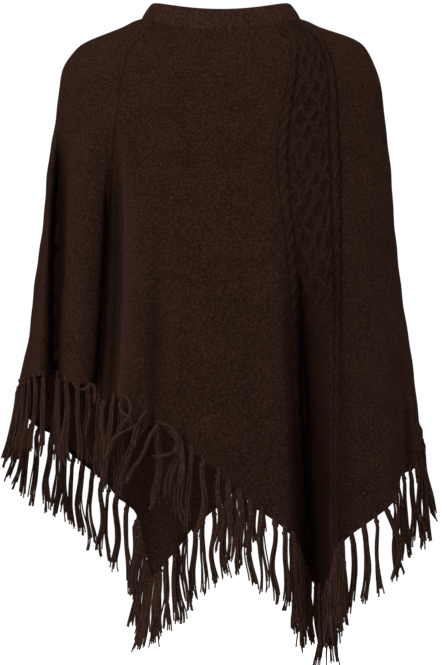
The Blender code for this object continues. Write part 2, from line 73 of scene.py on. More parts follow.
# Level at which the end angles of the folds are given.
FOLD_END_LEVEL = 16.0
DOWN = np.array([0.0, 0.0, -1.0])

# Height at the sides, half width right, half width left, height and depth at the back, height and depth at the front.
PROFILE: Rows = (
    (0.0020, 0.1120, 0.1120, -0.021, 0.0750, -0.060, 0.092),
    (-0.0022, 0.1245, 0.1250, -0.027, 0.0800, -0.066, 0.097),
    (-0.0100, 0.1410, 0.1400, -0.034, 0.0855, -0.073, 0.102),
    (-0.0212, 0.1730, 0.1670, -0.043, 0.0920, -0.081, 0.107),
    (-0.0308, 0.1935, 0.1900, -0.052, 0.0980, -0.089, 0.111),
    (-0.0410, 0.2048, 0.2052, -0.062, 0.1030, -0.098, 0.115),
    (-0.0612, 0.2162, 0.2197, -0.078, 0.1090, -0.112, 0.120),
    (-0.0845, 0.2247, 0.2277, -0.098, 0.1150, -0.130, 0.126),
    (-0.1200, 0.2310, 0.2330, -0.128, 0.1210, -0.155, 0.132),
    (-0.1600, 0.2350, 0.2380, -0.165, 0.1270, -0.187, 0.138),
    (-0.2200, 0.2425, 0.2455, -0.223, 0.1350, -0.238, 0.145),
    (-0.2800, 0.2475, 0.2505, -0.282, 0.1445, -0.292, 0.151),
    (-0.3400, 0.2530, 0.2560, -0.341, 0.1520, -0.348, 0.157),
    (-0.4000, 0.2615, 0.2640, -0.400, 0.1590, -0.404, 0.163),
    (-0.4600, 0.2705, 0.2712, -0.460, 0.1660, -0.462, 0.169),
    (-0.5200, 0.2775, 0.2830, -0.520, 0.1730, -0.522, 0.175),
    (-0.6000, 0.2865, 0.2920, -0.600, 0.1820, -0.601, 0.183),
    (-0.7000, 0.2980, 0.3000, -0.700, 0.1910, -0.701, 0.191),
    (-0.8500, 0.3100, 0.3120, -0.850, 0.2030, -0.850, 0.203),
)
LAST_LEVEL = len(PROFILE) - 1

# Lower edge of the cloth: angle, height.
HEM: Rows = (
    (-104.0, -0.562), (-90.0, -0.513), (-59.5, -0.501), (-50.3, -0.510), (-40.5, -0.514), (-33.0, -0.535),
    (-28.5, -0.534), (-22.5, -0.563), (-11.0, -0.581), (-8.8, -0.600), (-2.8, -0.621), (4.7, -0.657),
    (9.6, -0.682), (14.8, -0.699), (20.2, -0.723), (22.8, -0.753), (26.3, -0.790), (27.6, -0.7953),
    (30.6, -0.735), (36.2, -0.7175), (44.5, -0.697), (53.0, -0.675), (61.0, -0.641), (78.0, -0.622),
    (90.0, -0.606), (110.0, -0.530), (130.0, -0.515), (148.0, -0.535), (165.0, -0.620), (180.0, -0.701),
    (189.5, -0.742), (197.0, -0.793), (200.0, -0.810), (204.0, -0.716), (212.0, -0.678), (224.6, -0.632),
    (235.0, -0.603), (256.0, -0.562),
)

# Seams and the left edge of the cable band: level, angle.
BACK_LEFT_SEAM: Rows = (
    (0.0, -58.0), (0.7, -52.0), (3.0, -42.5), (5.5, -37.8), (9.0, -37.6), (13.0, -36.5), (16.0, -34.0), (18.0, -33.0),
)
BAND_LEFT_EDGE: Rows = (
    (0.0, 40.0), (3.0, 32.0), (6.0, 27.0), (8.0, 22.6), (9.7, 18.8), (10.6, 19.0), (12.3, 21.2), (15.0, 21.7),
    (18.0, 23.4),
)
# The same edge as it is seen, a few millimetres to the left at shoulder-blade height.
SHOWN_BAND_EDGE: Rows = (
    (0.0, 40.0), (3.0, 32.0), (6.0, 25.6), (8.0, 20.9), (9.7, 17.6), (10.6, 18.2), (12.3, 20.8), (15.0, 21.7),
    (18.0, 23.4),
)
BACK_RIGHT_SEAM: Rows = (
    (0.0, 66.0), (1.5, 59.5), (4.0, 48.6), (7.0, 45.2), (10.5, 42.6), (12.3, 40.2), (15.0, 34.8), (17.0, 31.6),
    (18.0, 31.0),
)
FRONT_RIGHT_SEAM: Rows = ((0.0, 114.0), (1.5, 120.5), (4.0, 132.0), (7.0, 135.0), (12.0, 138.0), (18.0, 140.0))
FRONT_LEFT_SEAM: Rows = (
    (0.0, -122.0), (0.7, -128.0), (3.0, -137.5), (5.5, -142.2), (9.0, -142.4), (13.0, -143.5), (18.0, -146.0),
)

# Folds: angle where it starts, angle at level 16, level where it starts, level of its full size, push, half width.
MAIN_FOLDS: Rows = (
    (-72.0, -59.0, 7.0, 12.0, -0.022, 0.014), (-43.5, -39.0, 8.5, 12.5, -0.030, 0.012),
    (-36.0, -31.0, 7.5, 12.0, 0.012, 0.018), (-20.0, -19.5, 12.0, 15.0, -0.006, 0.013),
    (23.5, 24.2, 11.0, 15.0, -0.030, 0.017), (35.0, 30.8, 10.5, 14.5, 0.012, 0.014),
    (73.0, 63.0, 12.5, 15.5, -0.007, 0.014), (119.0, 117.0, 9.0, 14.0, -0.018, 0.018),
    (131.0, 129.0, 9.0, 14.0, 0.010, 0.018), (143.0, 141.0, 10.0, 14.0, -0.015, 0.017),
    (190.0, 192.5, 11.5, 15.0, -0.018, 0.017), (211.0, 211.0, 11.0, 14.5, 0.012, 0.016),
    (242.0, 239.0, 8.5, 13.0, -0.018, 0.017),
)
# Soft waves that the plain solids leave out, in the same columns.
WAVES: Rows = (
    (56.0, 50.0, 6.0, 11.0, 0.003, 0.022), (-5.0, 0.0, 9.0, 14.0, 0.003, 0.040),
    (10.0, 12.0, 8.0, 13.0, -0.002, 0.022), (90.0, 84.0, 9.0, 14.0, -0.005, 0.016),
    (-95.0, -88.0, 8.0, 13.0, 0.004, 0.020), (160.0, 164.0, 9.0, 14.0, 0.004, 0.026),
    (176.0, 178.0, 9.0, 14.0, -0.005, 0.018), (227.0, 225.0, 9.0, 13.0, 0.005, 0.020),
)

# How far the tips of the fringe stand out from the body: angle, distance.
FLARE: Rows = (
    (-104.0, 0.020), (-90.0, 0.025), (-72.0, 0.012), (-45.0, 0.003), (60.0, 0.003), (80.0, 0.010), (90.0, 0.018),
    (105.0, 0.010), (130.0, 0.003), (225.0, 0.003), (256.0, 0.020),
)


class Surface(Enum):
    """The kinds of wool surface that the garment shows."""

    KNIT = "knit"
    RIB = "rib"
    YARN = "yarn"


class Ground(Enum):
    """What is knitted at a place across a panel."""

    PLAIN = "plain"
    ROPE = "rope"
    TRELLIS = "trellis"


def smooth_table(table: Rows, keys: Array, column: int = 1) -> Array:
    """Values of a column on a smooth line through the rows of a table.

    Args:
        table: Rows whose first column is the key.
        keys: Where the values are wanted.
        column: Which column to read.

    Returns:
        One value for each key.
    """
    rows = np.asarray(table, dtype=float)
    place, value = rows[:, 0], rows[:, column]
    keys = np.clip(keys, place[0], place[-1])
    secants = np.diff(value) / np.diff(place)
    slopes = np.concatenate([secants[:1], (secants[:-1] + secants[1:]) / 2, secants[-1:]])
    row = np.clip(np.searchsorted(place, keys) - 1, 0, len(rows) - 2)
    run = place[row + 1] - place[row]
    part = (keys - place[row]) / run
    square, cube = part ** 2, part ** 3
    return (
        value[row] * (2 * cube - 3 * square + 1)
        + slopes[row] * run * (cube - 2 * square + part)
        + value[row + 1] * (3 * square - 2 * cube)
        + slopes[row + 1] * run * (cube - square)
    )


def straight_table(table: Rows, keys: Array) -> Array:
    """Values of the second column on straight lines between the rows of a table."""
    rows = np.asarray(table, dtype=float)
    return np.interp(keys, rows[:, 0], rows[:, 1])


def soft_step(part: Array) -> Array:
    """A step from 0 to 1 with soft ends."""
    part = np.clip(part, 0.0, 1.0)
    return part * part * (3.0 - 2.0 * part)


def wrapped(angle: Array) -> Array:
    """The same angles within the range that the hem and flare tables cover."""
    return (np.asarray(angle, dtype=float) - TABLE_START) % 360.0 + TABLE_START


def unit(vectors: Array) -> Array:
    """Vectors of length one along the given ones."""
    return vectors / np.linalg.norm(vectors, axis=-1, keepdims=True)


# Length over which a crease spreads, and distance over which it fades towards the other side of the garment.
SPREAD_LENGTH = 0.26
SIDE_FADE = 0.03
# Between 1, a pointed ridge, and 2, a round one.
CREASE_ROUNDNESS = 1.35


@dataclass(frozen=True)
class Crease:
    """A narrow crease that runs down one side of the garment and pushes the cloth inwards.

    A negative depth makes a ridge, and a depth of 0 only paints shade into the cloth's colour. The shade is painted
    shade, and a negative shade is a painted highlight. The crease starts at the height start and has its full depth
    from the height full downwards. The side is -1 on the back and 1 on the front. A reach over 1 widens the right side
    of the painted shade, and a spread widens the crease on its way down.
    """

    path: Rows
    depth: float
    left_width: float
    right_width: float
    start: float
    full: float
    side: float = -1.0
    shade: float = 1.0
    reach: float = 1.0
    spread: float = 0.0

    def share(self, points: Array, reach: float = 1.0) -> Array:
        """How much of the full depth, or of the painted shade, each point has; a larger reach widens the right side."""
        middle = straight_table(self.path, points[..., 2])
        distance = points[..., 0] - middle
        width = np.where(distance < 0, self.left_width, self.right_width * reach)
        width = width * (1.0 + self.spread * soft_step((self.full - points[..., 2]) / SPREAD_LENGTH))
        growth = soft_step((self.start - points[..., 2]) / (self.start - self.full))
        same_side = soft_step(0.5 + self.side * points[..., 1] / SIDE_FADE)
        return growth * same_side * np.exp(-(np.abs(distance / width) ** CREASE_ROUNDNESS))


LEFT_RIDGE: Rows = ((-0.53, -0.1405), (-0.468, -0.1363), (-0.399, -0.1325), (-0.30, -0.132), (-0.20, -0.134))
# Paths of the creases: height, place to the right. A crease's shade is painted into the cloth's colour, as painted
# shade, or as a painted highlight where it is negative; creases of depth 0 only paint.
CREASES = (
    Crease(((-0.787, 0.1237), (-0.739, 0.1209), (-0.671, 0.1196), (-0.603, 0.1162), (-0.535, 0.1155),
            (-0.4675, 0.1128), (-0.399, 0.1114), (-0.30, 0.109)), 0.044, 0.010, 0.018, -0.29, -0.50, shade=0.86,
           reach=1.5, spread=0.30),
    Crease(((-0.80, 0.1485), (-0.60, 0.1475), (-0.40, 0.1485)), -0.004, 0.0030, 0.012, -0.40, -0.54, shade=0.0),
    Crease(((-0.80, 0.1470), (-0.60, 0.1460), (-0.40, 0.1470)), 0.0, 0.024, 0.0020, -0.38, -0.62, shade=0.34),
    Crease(((-0.80, 0.1500), (-0.60, 0.1490), (-0.40, 0.1500)), 0.0, 0.0016, 0.0040, -0.36, -0.52, shade=-0.34),
    Crease(LEFT_RIDGE, 0.0, 0.0014, 0.016, -0.14, -0.28, shade=-0.38),
    Crease(((-0.80, 0.1120), (-0.60, 0.1060), (-0.40, 0.1060)), 0.0, 0.016, 0.0200, -0.46, -0.66, shade=0.30),
    Crease(((-0.53, -0.1730), (-0.516, -0.1716), (-0.468, -0.1668), (-0.399, -0.1620), (-0.330, -0.1590),
            (-0.248, -0.1565), (-0.20, -0.155)), 0.030, 0.0028, 0.009, -0.15, -0.32, shade=1.3, reach=1.4),
    Crease(((-0.53, -0.1480), (-0.399, -0.1420), (-0.20, -0.1420)), 0.020, 0.008, 0.036, -0.10, -0.34, shade=0.0),
    Crease(((-0.53, -0.1445), (-0.468, -0.1403), (-0.399, -0.1365), (-0.30, -0.136), (-0.20, -0.138)),
           0.0, 0.022, 0.0012, -0.12, -0.30, shade=0.28),
    Crease(((-0.53, -0.2316), (-0.468, -0.2330), (-0.398, -0.2350), (-0.329, -0.2330), (-0.259, -0.2316),
            (-0.161, -0.2288)), 0.036, 0.0060, 0.0090, -0.13, -0.28, shade=2.2, reach=1.2),
    Crease(((-0.60, -0.0905), (-0.30, -0.0885)), 0.012, 0.009, 0.016, -0.20, -0.50, shade=0.40),
    Crease(LEFT_RIDGE, -0.006, 0.0030, 0.045, -0.12, -0.26, shade=0.0),
    Crease(((-0.66, 0.262), (-0.50, 0.255)), 0.007, 0.005, 0.006, -0.50, -0.58, shade=0.5),
    Crease(((-0.62, 0.128), (-0.30, 0.120)), 0.022, 0.008, 0.010, -0.22, -0.42, side=1.0),
    Crease(((-0.62, -0.150), (-0.30, -0.140)), 0.020, 0.008, 0.008, -0.22, -0.42, side=1.0),
)


# Sizes of the rings in fine steps, so that the smooth line through PROFILE is worked out only once.
RING_LEVELS = np.linspace(0.0, LAST_LEVEL, RING_STEPS + 1)
LEVELLED_PROFILE = tuple((float(level),) + row for level, row in enumerate(PROFILE))
RING_SIZES = np.array([smooth_table(LEVELLED_PROFILE, RING_LEVELS, column) for column in range(1, 8)])


@dataclass(frozen=True)
class ClothForm:
    """Shape of the cloth round the body."""

    folds: Rows = MAIN_FOLDS
    creases: tuple[Crease, ...] = ()

    def ring(self, level: Array) -> Array:
        """The seven sizes of the ring at each level."""
        return np.array([np.interp(level, RING_LEVELS, sizes) for sizes in RING_SIZES])

    def plain_point(self, angle: Array, level: Array) -> Array:
        """Points of the outer side of the cloth without folds.

        Args:
            angle: Angles round the body.
            level: Levels down the body.

        Returns:
            An array of points.
        """
        side_height, right, left, back_height, back, front_height, front = self.ring(level)
        across, along = np.sin(np.radians(angle)), -np.cos(np.radians(angle))
        end_height = np.where(along < 0, back_height, front_height)
        return np.stack([
            across * np.where(across > 0, right, left),
            along * np.where(along < 0, back, front),
            side_height * across ** 2 + end_height * along ** 2,
        ], axis=-1)

    def spans(self, angle: Array, level: Array) -> tuple[Array, Array, Array, Array]:
        """Shares across and along the body, and the half width and half depth on that side."""
        _, right, left, _, back, _, front = self.ring(level)
        across, along = np.sin(np.radians(angle)), -np.cos(np.radians(angle))
        return across, along, np.where(across > 0, right, left), np.where(along < 0, back, front)

    def outward(self, angle: Array, level: Array) -> Array:
        """Horizontal directions away from the body."""
        across, along, width, depth = self.spans(angle, level)
        return unit(np.stack([across / width, along / depth, np.zeros_like(across)], axis=-1))

    def length_per_degree(self, angle: Array, level: Array) -> Array:
        """Length round the body for one degree."""
        across, along, width, depth = self.spans(angle, level)
        return np.radians(np.hypot(width * along, depth * across))

    def fold_push(self, angle: Array, level: Array) -> Array:
        """How far the folds push the cloth outwards."""
        columns = np.array(self.folds, dtype=float).T[:, :, None]
        start_angle, end_angle, start_level, full_level, size, half_width = columns
        growth = soft_step((level - start_level) / (full_level - start_level))
        middle = start_angle + (end_angle - start_angle) * (level - start_level) / (FOLD_END_LEVEL - start_level)
        turn = (angle - middle + 180.0) % 360.0 - 180.0
        distance = turn * self.length_per_degree(middle, level)
        near = np.exp(-((distance / half_width) ** 2)) * (np.abs(turn) < 40.0)
        return (size * growth * near).sum(axis=0)

    def folded_point(self, angle: Array, level: Array) -> Array:
        """Points of the outer side of the cloth with its folds but without creases."""
        push = self.fold_push(angle, level)[..., None]
        return self.plain_point(angle, level) + self.outward(angle, level) * push

    def cloth_point(self, angle: Array, level: Array) -> Array:
        """Points of the outer side of the cloth with its folds and creases."""
        points = self.folded_point(angle, level)
        moved = points.copy()
        for crease in self.creases:
            moved[..., 1] -= crease.side * crease.depth * crease.share(points)
        return moved

    def painted_shading(self, angle: Array, level: Array) -> Array:
        """Painted shade of the creases, from 0 to 1, or below 0 for a painted highlight on a ridge."""
        points = self.folded_point(angle, level)
        return np.clip(sum(crease.shade * crease.share(points, crease.reach) for crease in self.creases), -1.0, 1.0)

    def normal(self, angle: Array, level: Array) -> Array:
        """Outward normals of the cloth."""
        step, turn = 0.05, 0.15 if self.creases else 0.4
        low = np.clip(level, step, LAST_LEVEL - step)
        round_step = self.cloth_point(angle + turn, low) - self.cloth_point(angle - turn, low)
        down_step = self.cloth_point(angle, low + step) - self.cloth_point(angle, low - step)
        return unit(np.cross(down_step, round_step))


SOLID_FORM = ClothForm()
FINE_FORM = ClothForm(folds=tuple(MAIN_FOLDS) + tuple(WAVES), creases=CREASES)


class ClothLine:
    """One line of the cloth from the collar seam down to the hem."""

    def __init__(self, form: ClothForm, angle_at: Line) -> None:
        """Follows the line down to the hem.

        Args:
            form: Shape of the cloth.
            angle_at: Angle of the line at each level.
        """
        self.form = form
        self.angle_at = angle_at
        levels = np.arange(LEVEL_STEPS + 1) * LAST_LEVEL / LEVEL_STEPS
        angles = angle_at(levels)
        points = form.plain_point(angles, levels)
        drops = points[:, 2] - straight_table(HEM, wrapped(angles))
        below = np.nonzero(drops[1:] < 0.0)[0]
        last = int(below[0]) + 1 if len(below) else LEVEL_STEPS
        steps = np.linalg.norm(np.diff(points, axis=0), axis=1)[:last]
        if len(below):
            before = drops[last - 1] if last > 1 else 1.0
            part = min(1.0, before / (before - drops[last]))
            steps[-1] *= part
            levels[last] = levels[last - 1] + (levels[last] - levels[last - 1]) * part
        self.levels = levels[:last + 1]
        self.lengths = np.concatenate([[0.0], np.cumsum(steps)])
        self.length = float(self.lengths[-1])
        hem_angle, turn, widest = wrapped(angle_at(self.levels[-1:])), 0.8, 6.0
        rise = straight_table(HEM, hem_angle + turn) - straight_table(HEM, hem_angle - turn)
        slope = rise / (2 * turn * form.length_per_degree(hem_angle, self.levels[-1:]))
        self.hem_gap = HEM_GAP * min(math.hypot(1.0, float(slope[0])), widest)

    @property
    def panel_length(self) -> float:
        """Length of the solid panel along the line."""
        return self.length - STRIP_HEIGHT - self.hem_gap

    def surface(self, lengths: Array) -> tuple[Array, Array]:
        """The cloth at lengths below the collar seam.

        Args:
            lengths: Lengths along the line.

        Returns:
            Points of the outer side and the outward directions there.
        """
        levels = np.interp(lengths, self.lengths, self.levels)
        angles = self.angle_at(levels)
        normals = self.form.normal(angles, levels)
        normals[:, 2] *= np.clip((self.panel_length - lengths) / HEM_TURN, 0.0, 1.0)
        return self.form.cloth_point(angles, levels), unit(normals)

    def painted_shading(self, lengths: Array) -> Array:
        """Painted shade of the creases along the line at lengths below the collar seam, below 0 for a painted
        highlight.
        """
        levels = np.interp(lengths, self.lengths, self.levels)
        return self.form.painted_shading(self.angle_at(levels), levels)


def between(form: ClothForm, first: Rows, second: Rows, share: float, turn: float = 0.0, gap: float = 0.0) -> Line:
    """Line at a share of the way from one seam to another.

    Args:
        form: Shape of the cloth.
        first: Table of the first seam.
        second: Table of the second seam.
        share: 0 at the first seam and 1 at the second.
        turn: Angle added to the second seam.
        gap: Distance by which the line is moved sideways.

    Returns:
        The angle of the line as a function of the level.
    """

    def angle_at(level: Array) -> Array:
        """Angle of the line at each level."""
        start = smooth_table(first, level)
        angle = start + (smooth_table(second, level) + turn - start) * share
        return angle + gap / form.length_per_degree(angle, level) if gap else angle

    return angle_at


def zip_chains(first: Sequence[tuple[float, int]], second: Sequence[tuple[float, int]]) -> list[list[int]]:
    """Joins two chains of (place, vertex) with faces: quads where their places agree.

    Args:
        first: First chain.
        second: Second chain.

    Returns:
        Faces as lists of corner numbers.
    """
    faces = []
    one, two = 0, 0
    while one < len(first) - 1 or two < len(second) - 1:
        next_one = first[one + 1][0] if one < len(first) - 1 else math.inf
        next_two = second[two + 1][0] if two < len(second) - 1 else math.inf
        corners = [first[one][1], second[two][1]]
        if abs(next_one - next_two) < 1e-9:
            corners += [second[two + 1][1], first[one + 1][1]]
            one, two = one + 1, two + 1
        elif next_one < next_two:
            corners.append(first[one + 1][1])
            one += 1
        else:
            corners.append(second[two + 1][1])
            two += 1
        faces.append(corners)
    return faces


def grid_faces(number: Array) -> list[list[int]]:
    """Quads between the neighbours in a grid of vertex numbers."""
    corners = (number[:-1, :-1], number[:-1, 1:], number[1:, 1:], number[1:, :-1])
    return np.stack(corners, axis=-1).reshape(-1, 4).tolist()


def smooth_way(steps: Array, share: Array) -> Array:
    """Points at shares of the smooth line through some points."""
    keys = np.concatenate([[0.0], np.cumsum(np.linalg.norm(np.diff(steps, axis=0), axis=1))])
    table = np.column_stack([keys / keys[-1], steps])
    return np.stack([smooth_table(table, share, column) for column in range(1, table.shape[1])], axis=-1)


def make_object(name: str, points: Array, faces: Sequence, flat: Optional[Array] = None) -> bpy.types.Object:
    """Adds a smoothly shaded mesh object at the origin.

    Args:
        name: Name of the piece.
        points: Corner points.
        faces: Faces as lists of corner numbers.
        flat: For each point its place on the flat cloth, in metres.

    Returns:
        The new object.
    """
    mesh = bpy.data.meshes.new(name)
    mesh.from_pydata(np.asarray(points).tolist(), [], [list(map(int, face)) for face in faces])
    mesh.shade_smooth()
    if flat is not None:
        corners = np.empty(len(mesh.loops), dtype=np.int32)
        mesh.loops.foreach_get("vertex_index", corners)
        layer = mesh.uv_layers.new(name="cloth")
        layer.data.foreach_set("uv", np.asarray(flat, dtype=np.float32)[corners].ravel())
    mesh.update()
    piece = bpy.data.objects.new(name, mesh)
    bpy.context.scene.collection.objects.link(piece)
    return piece


class NodeKit:
    """Shorthand for adding nodes to a tree."""

    def __init__(self, tree: bpy.types.NodeTree) -> None:
        """Keeps the tree that gets the nodes."""
        self.tree = tree

    def node(self, kind: str, **settings) -> bpy.types.Node:
        """Adds a node and sets its options."""
        node = self.tree.nodes.new(kind)
        for key, value in settings.items():
            setattr(node, key, value)
        return node

    def join(self, value, socket: bpy.types.NodeSocket) -> None:
        """Links an output to a socket, or sets the socket to a plain value."""
        if isinstance(value, bpy.types.NodeSocket):
            self.tree.links.new(value, socket)
        else:
            socket.default_value = value

    def made(self, kind: str, inputs: dict, **settings) -> bpy.types.NodeSocket:
        """Adds a node and feeds its inputs.

        Args:
            kind: Type of the node.
            inputs: Values or outputs for the enabled inputs, by name.
            settings: Options of the node.

        Returns:
            Its first enabled output.
        """
        node = self.node(kind, **settings)
        for name, value in inputs.items():
            self.join(value, next(socket for socket in node.inputs if socket.name == name and socket.enabled))
        return next(socket for socket in node.outputs if socket.enabled)

    def math(self, operation: str, first, second=0.0) -> bpy.types.NodeSocket:
        """Adds a Math node and gives its result."""
        node = self.node("ShaderNodeMath", operation=operation)
        self.join(first, node.inputs[0])
        self.join(second, node.inputs[1])
        return node.outputs[0]


class ShaderKit(NodeKit):
    """Shorthand for making a material."""

    def __init__(self, name: str) -> None:
        """Makes a new material with a Principled shader."""
        self.material = bpy.data.materials.new(name)
        self.material.use_nodes = True
        super().__init__(self.material.node_tree)
        self.inputs = self.tree.nodes["Principled BSDF"].inputs

    def noise(self, vector: bpy.types.NodeSocket, scale: float, detail: float = 2.0) -> bpy.types.NodeSocket:
        """Adds a Noise Texture and gives its value."""
        return self.made("ShaderNodeTexNoise", {"Vector": vector, "Scale": scale, "Detail": detail})

    def mix(self, share, first, second) -> bpy.types.NodeSocket:
        """Adds a colour mix and gives its result."""
        node = self.node("ShaderNodeMix", data_type="RGBA")
        for index, value in ((0, share), (6, first), (7, second)):
            self.join(value, node.inputs[index])
        return node.outputs[2]

    def ranged(self, value, low: float, high: float, new_low: float, new_high: float) -> bpy.types.NodeSocket:
        """Maps a range of values to another range, with its ends held."""
        node = self.node("ShaderNodeMapRange")
        self.join(value, node.inputs["Value"])
        for socket, number in zip(node.inputs[1:5], (low, high, new_low, new_high)):
            socket.default_value = number
        return node.outputs[0]


def rgba(colour: Colour, factor: float = 1.0) -> tuple[float, ...]:
    """A colour times a factor, with full cover."""
    return tuple(part * factor for part in colour) + (1.0,)


@dataclass(frozen=True)
class WoolFinish:
    """Melange wool, knitted or twisted into yarn."""

    name: str
    surface: Surface
    deep: Colour
    light: Colour
    fleck: Colour
    stitch_width: float = 0.0030
    stitch_height: float = 0.0023
    relief: float = 0.0009
    roughness: float = 0.92
    sheen: float = 0.03
    sheen_roughness: float = 0.45
    sheen_tint: Colour = (0.75, 0.38, 0.22)
    cloud_scale: float = 22.0
    grain_scale: float = 300.0
    fleck_scale: float = 520.0
    fuzz_scale: float = 1500.0
    # Painted shade between the stitches and in creases, and a painted highlight on ridges.
    gap_shade: float = 0.35
    crease_shade: float = 0.15
    painted_ridge_highlight: float = 1.5

    def knit_height(self, kit: ShaderKit) -> bpy.types.NodeSocket:
        """Height of the knitted stitches, from 0 in the gaps to 1 on the legs of each stitch."""
        flat = kit.node("ShaderNodeUVMap", uv_map="cloth")
        parts = kit.node("ShaderNodeSeparateXYZ")
        kit.join(flat.outputs[0], parts.inputs[0])
        across = kit.math("FRACT", kit.math("DIVIDE", parts.outputs[0], self.stitch_width))
        from_middle = kit.math("MULTIPLY", kit.math("ABSOLUTE", kit.math("SUBTRACT", across, 0.5)), 2.0)
        leg = kit.math("SINE", kit.math("MULTIPLY", from_middle, math.pi))
        slanted = kit.math("SUBTRACT", kit.math("DIVIDE", parts.outputs[1], self.stitch_height), from_middle)
        bead = kit.math("SINE", kit.math("MULTIPLY", kit.math("FRACT", slanted), math.pi))
        return kit.math("MULTIPLY", leg, kit.math("POWER", bead, 0.7))

    def yarn_height(self, kit: ShaderKit) -> bpy.types.NodeSocket:
        """Height of the plies of a twisted yarn."""
        along = kit.node("ShaderNodeAttribute", attribute_name="along").outputs["Fac"]
        around = kit.node("ShaderNodeAttribute", attribute_name="around").outputs["Fac"]
        turns = kit.math("ADD", kit.math("DIVIDE", along, self.stitch_width), around)
        return kit.math("ABSOLUTE", kit.math("SINE", kit.math("MULTIPLY", turns, math.pi)))

    def colour(
        self, kit: ShaderKit, place: bpy.types.NodeSocket, grain: bpy.types.NodeSocket, height: bpy.types.NodeSocket
    ) -> bpy.types.NodeSocket:
        """Melange colour, with painted shade between the stitches and in creases and a painted highlight on ridges.

        Args:
            kit: Kit of the material.
            place: Place on the object.
            grain: Fine noise that mixes the two main colours.
            height: Height of the stitches or plies.

        Returns:
            The colour.
        """
        cloudy = kit.noise(place, self.cloud_scale, 3.0)
        flecks = kit.noise(place, self.fleck_scale, 1.0)
        shade = kit.math("ADD", kit.ranged(grain, 0.36, 0.64, 0.0, 0.8), kit.ranged(cloudy, 0.35, 0.65, 0.0, 0.2))
        colour = kit.mix(shade, rgba(self.deep), rgba(self.light))
        colour = kit.mix(kit.ranged(flecks, 0.60, 0.72, 0.0, 0.8), colour, rgba(self.fleck))
        # Painted shade between the stitches or plies, darker where they lie low.
        colour = kit.mix(kit.ranged(height, 0.0, 0.55, 0.62, 0.0), colour, rgba(self.deep, self.gap_shade))
        # Painted shading of the cloth: below 0 a painted highlight on ridges, above 0 painted shade in creases, seams
        # and cable ground.
        crease = kit.node("ShaderNodeAttribute", attribute_name="painted_shading").outputs["Fac"]
        colour = kit.mix(kit.ranged(crease, -0.5, -0.04, 0.60, 0.0), colour, rgba(self.light, self.painted_ridge_highlight))
        return kit.mix(kit.ranged(crease, 0.06, 0.95, 0.0, 0.86), colour, rgba(self.deep, self.crease_shade))

    def make(self) -> bpy.types.Material:
        """Makes the material."""
        kit = ShaderKit(self.name)
        height = self.yarn_height(kit) if self.surface is Surface.YARN else self.knit_height(kit)
        place = kit.node("ShaderNodeTexCoord").outputs["Object"]
        grain = kit.noise(place, self.grain_scale, 3.0)
        fuzz = kit.noise(place, self.fuzz_scale, 2.0)
        rough_height = kit.math("ADD", height, kit.math("MULTIPLY", fuzz, 0.5))
        bump = kit.made("ShaderNodeBump", {"Distance": self.relief, "Strength": 0.8, "Height": rough_height})
        for name, value in (
            ("Base Color", self.colour(kit, place, grain, height)),
            ("Normal", bump),
            ("Roughness", kit.ranged(grain, 0.3, 0.7, self.roughness - 0.06, self.roughness + 0.04)),
            ("Sheen Weight", self.sheen),
            ("Sheen Roughness", self.sheen_roughness),
            ("Sheen Tint", rgba(self.sheen_tint)),
            ("Specular IOR Level", 0.0),
        ):
            kit.join(value, kit.inputs[name])
        return kit.material


@dataclass(frozen=True)
class PaperFinish:
    """Plain white ground of the studio."""

    name: str = "studio_white"
    colour: Colour = (0.92, 0.92, 0.92)
    glow: float = 0.75

    def make(self) -> bpy.types.Material:
        """Makes the material."""
        kit = ShaderKit(self.name)
        place = kit.node("ShaderNodeTexCoord").outputs["Object"]
        kit.join(kit.ranged(kit.noise(place, 3.0), 0.3, 0.7, 0.90, 0.95), kit.inputs["Roughness"])
        kit.inputs["Base Color"].default_value = rgba(self.colour)
        kit.inputs["Emission Color"].default_value = (1.0, 1.0, 1.0, 1.0)
        kit.inputs["Emission Strength"].default_value = self.glow
        return kit.material


